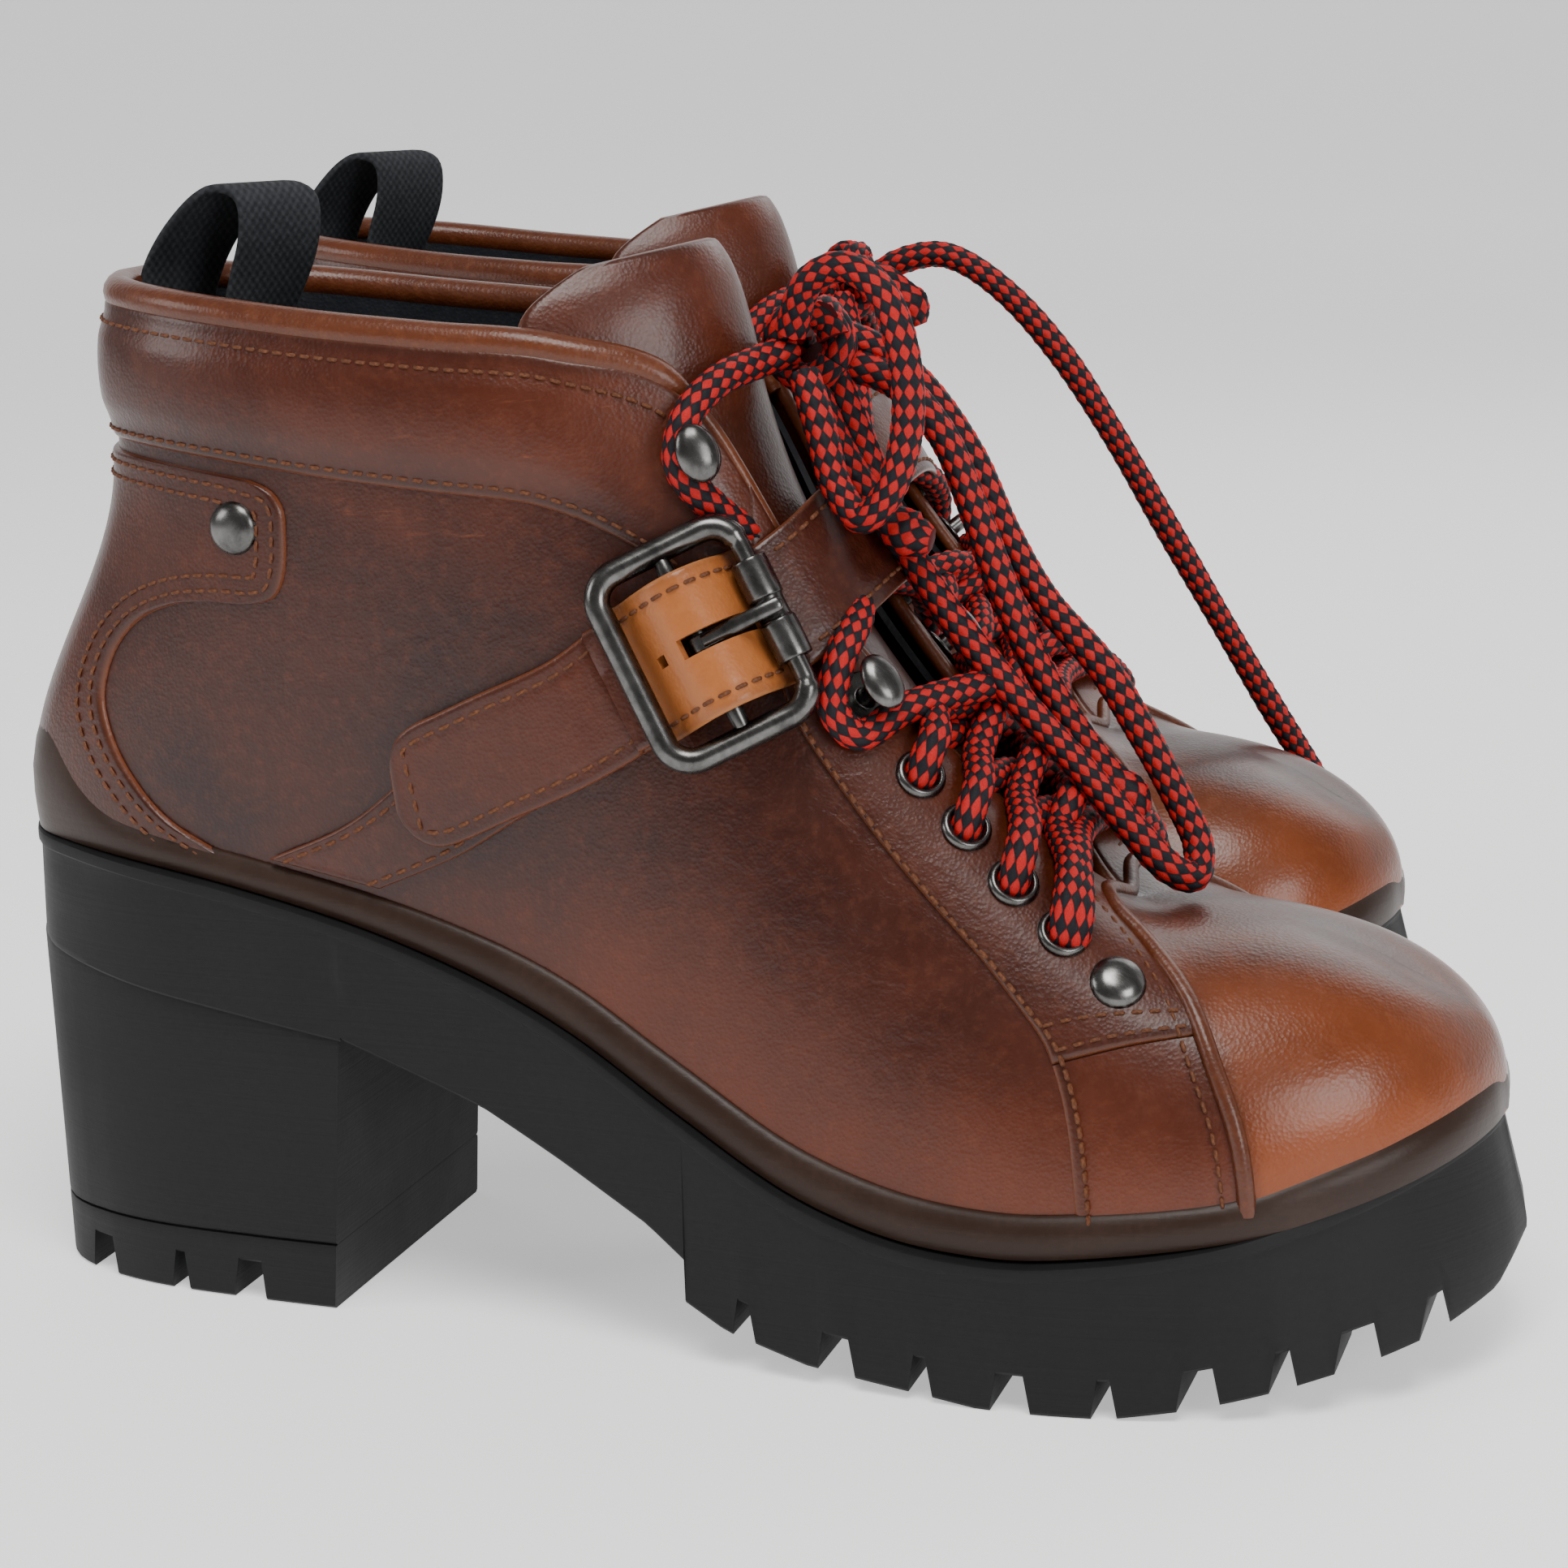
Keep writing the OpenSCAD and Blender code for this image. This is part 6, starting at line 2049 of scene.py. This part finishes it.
@dataclass
class Studio:
    """The camera, the pale floor and the soft lights."""

    eye: tuple[float, float, float] = (0.21275, -0.616, 0.2227)
    yaw: float = 18.2
    pitch: float = 12.8
    roll: float = -1.8
    lens: float = 77.61
    shift: tuple[float, float] = (-0.0179, 0.0032)

    def camera(self) -> bpy.types.Object:
        """The camera, from the outer side of the right boot and a little ahead of it.

        Returns:
            The camera's object.
        """
        a, e, r = np.radians([self.yaw, self.pitch, self.roll])
        ahead = np.array([-math.sin(a) * math.cos(e), math.cos(a) * math.cos(e), -math.sin(e)])
        right = unit(np.cross(ahead, [0, 0, 1.0]))
        up = np.cross(right, ahead)
        right, up = right * math.cos(r) + up * math.sin(r), -right * math.sin(r) + up * math.cos(r)
        data = bpy.data.cameras.new("camera")
        data.lens, data.sensor_width = self.lens, 36.0
        data.shift_x, data.shift_y = self.shift
        data.clip_start, data.clip_end = 0.01, 50.0
        data.dof.use_dof = False
        camera = bpy.data.objects.new("camera", data)
        bpy.context.scene.collection.objects.link(camera)
        rows = [[right[k], up[k], -ahead[k], self.eye[k]] for k in range(3)]
        camera.matrix_world = Matrix(rows + [[0, 0, 0, 1]])
        bpy.context.scene.camera = camera
        return camera

    def floor(self) -> None:
        """A wide pale floor under the soles that rises behind them in a quarter circle."""
        low = float(CAD_BOX[0][2])
        turn = np.linspace(0, np.pi / 2, 24)
        y = np.concatenate([[-9.0], 3.0 + 2.0 * np.sin(turn), [5.0]])
        z = np.concatenate([[0.0], 2.0 * (1 - np.cos(turn)), [9.0]]) + low
        points = np.stack([np.stack([np.full(len(y), side), y, z], -1) for side in (-14.0, 14.0)], 1)
        quads, _ = grid_quads(len(y), 2)
        mesh = bpy.data.meshes.new("floor")
        mesh.from_pydata(points.reshape(-1, 3).tolist(), [], quads[:, ::-1].tolist())
        mesh.polygons.foreach_set("use_smooth", np.ones(len(quads), bool))
        s = Shader("pale_floor")
        s.put(Base_Color=(0.88, 0.88, 0.88, 1.0), Roughness=0.8, Emission_Color=(1.0, 1.0, 1.0, 1.0),
              Emission_Strength=0.58)
        mesh.materials.append(s.material)
        floor = bpy.data.objects.new("floor", mesh)
        bpy.context.scene.collection.objects.link(floor)

    def light(self, name: str, at: Sequence[float], aim: Sequence[float], size: float, power: float,
              colour: Colour = (1.0, 1.0, 1.0)) -> None:
        """One square soft light.

        Args:
            name: Its name.
            at: Where it stands.
            aim: The point it faces.
            size: Length of its side.
            power: Watts.
            colour: Its colour.
        """
        data = bpy.data.lights.new(name, "AREA")
        data.size, data.energy, data.color = size, power, colour
        lamp = bpy.data.objects.new(name, data)
        bpy.context.scene.collection.objects.link(lamp)
        lamp.location = Vector(at)
        lamp.rotation_euler = (Vector(aim) - Vector(at)).to_track_quat("-Z", "Y").to_euler()

    def lights(self) -> None:
        """A large light above, one from the left, a rim light behind, and an even white world."""
        self.light("key_above", (0.15, -0.55, 1.20), (0.0, 0.0, 0.08), 0.6, 13.0, (1.0, 0.99, 0.97))
        self.light("wayleft", (-1.05, -0.6, 0.6), (0.0, 0.0, 0.1), 0.5, 4.0)
        self.light("front_right", (1.05, -0.75, 0.50), (0.05, 0.0, 0.1), 0.5, 7.0)
        self.light("rim_behind", (0.35, 0.95, 0.9), (0.0, 0.0, 0.12), 0.8, 3.5)
        world = bpy.data.worlds.new("studio")
        bpy.context.scene.world = world
        world.use_nodes = True
        background = world.node_tree.nodes["Background"]
        background.inputs[0].default_value = (1.0, 1.0, 1.0, 1.0)
        background.inputs[1].default_value = 0.22


def main() -> None:
    """Builds both boots in their order."""
    studio = Studio()
    studio.camera()
    boots = [Boot("right", 0.0, False), Boot("left", STAGGER, True)]
    for boot in boots:
        Laces(boot).build()
    for boot in boots:
        Sole(boot).build()
        Upper(boot).build()
        Strap(boot).build()
        Buckle(boot).build()
        Hardware(boot).build()
    studio.floor()
    studio.lights()


if __name__ == "__main__":
    main()
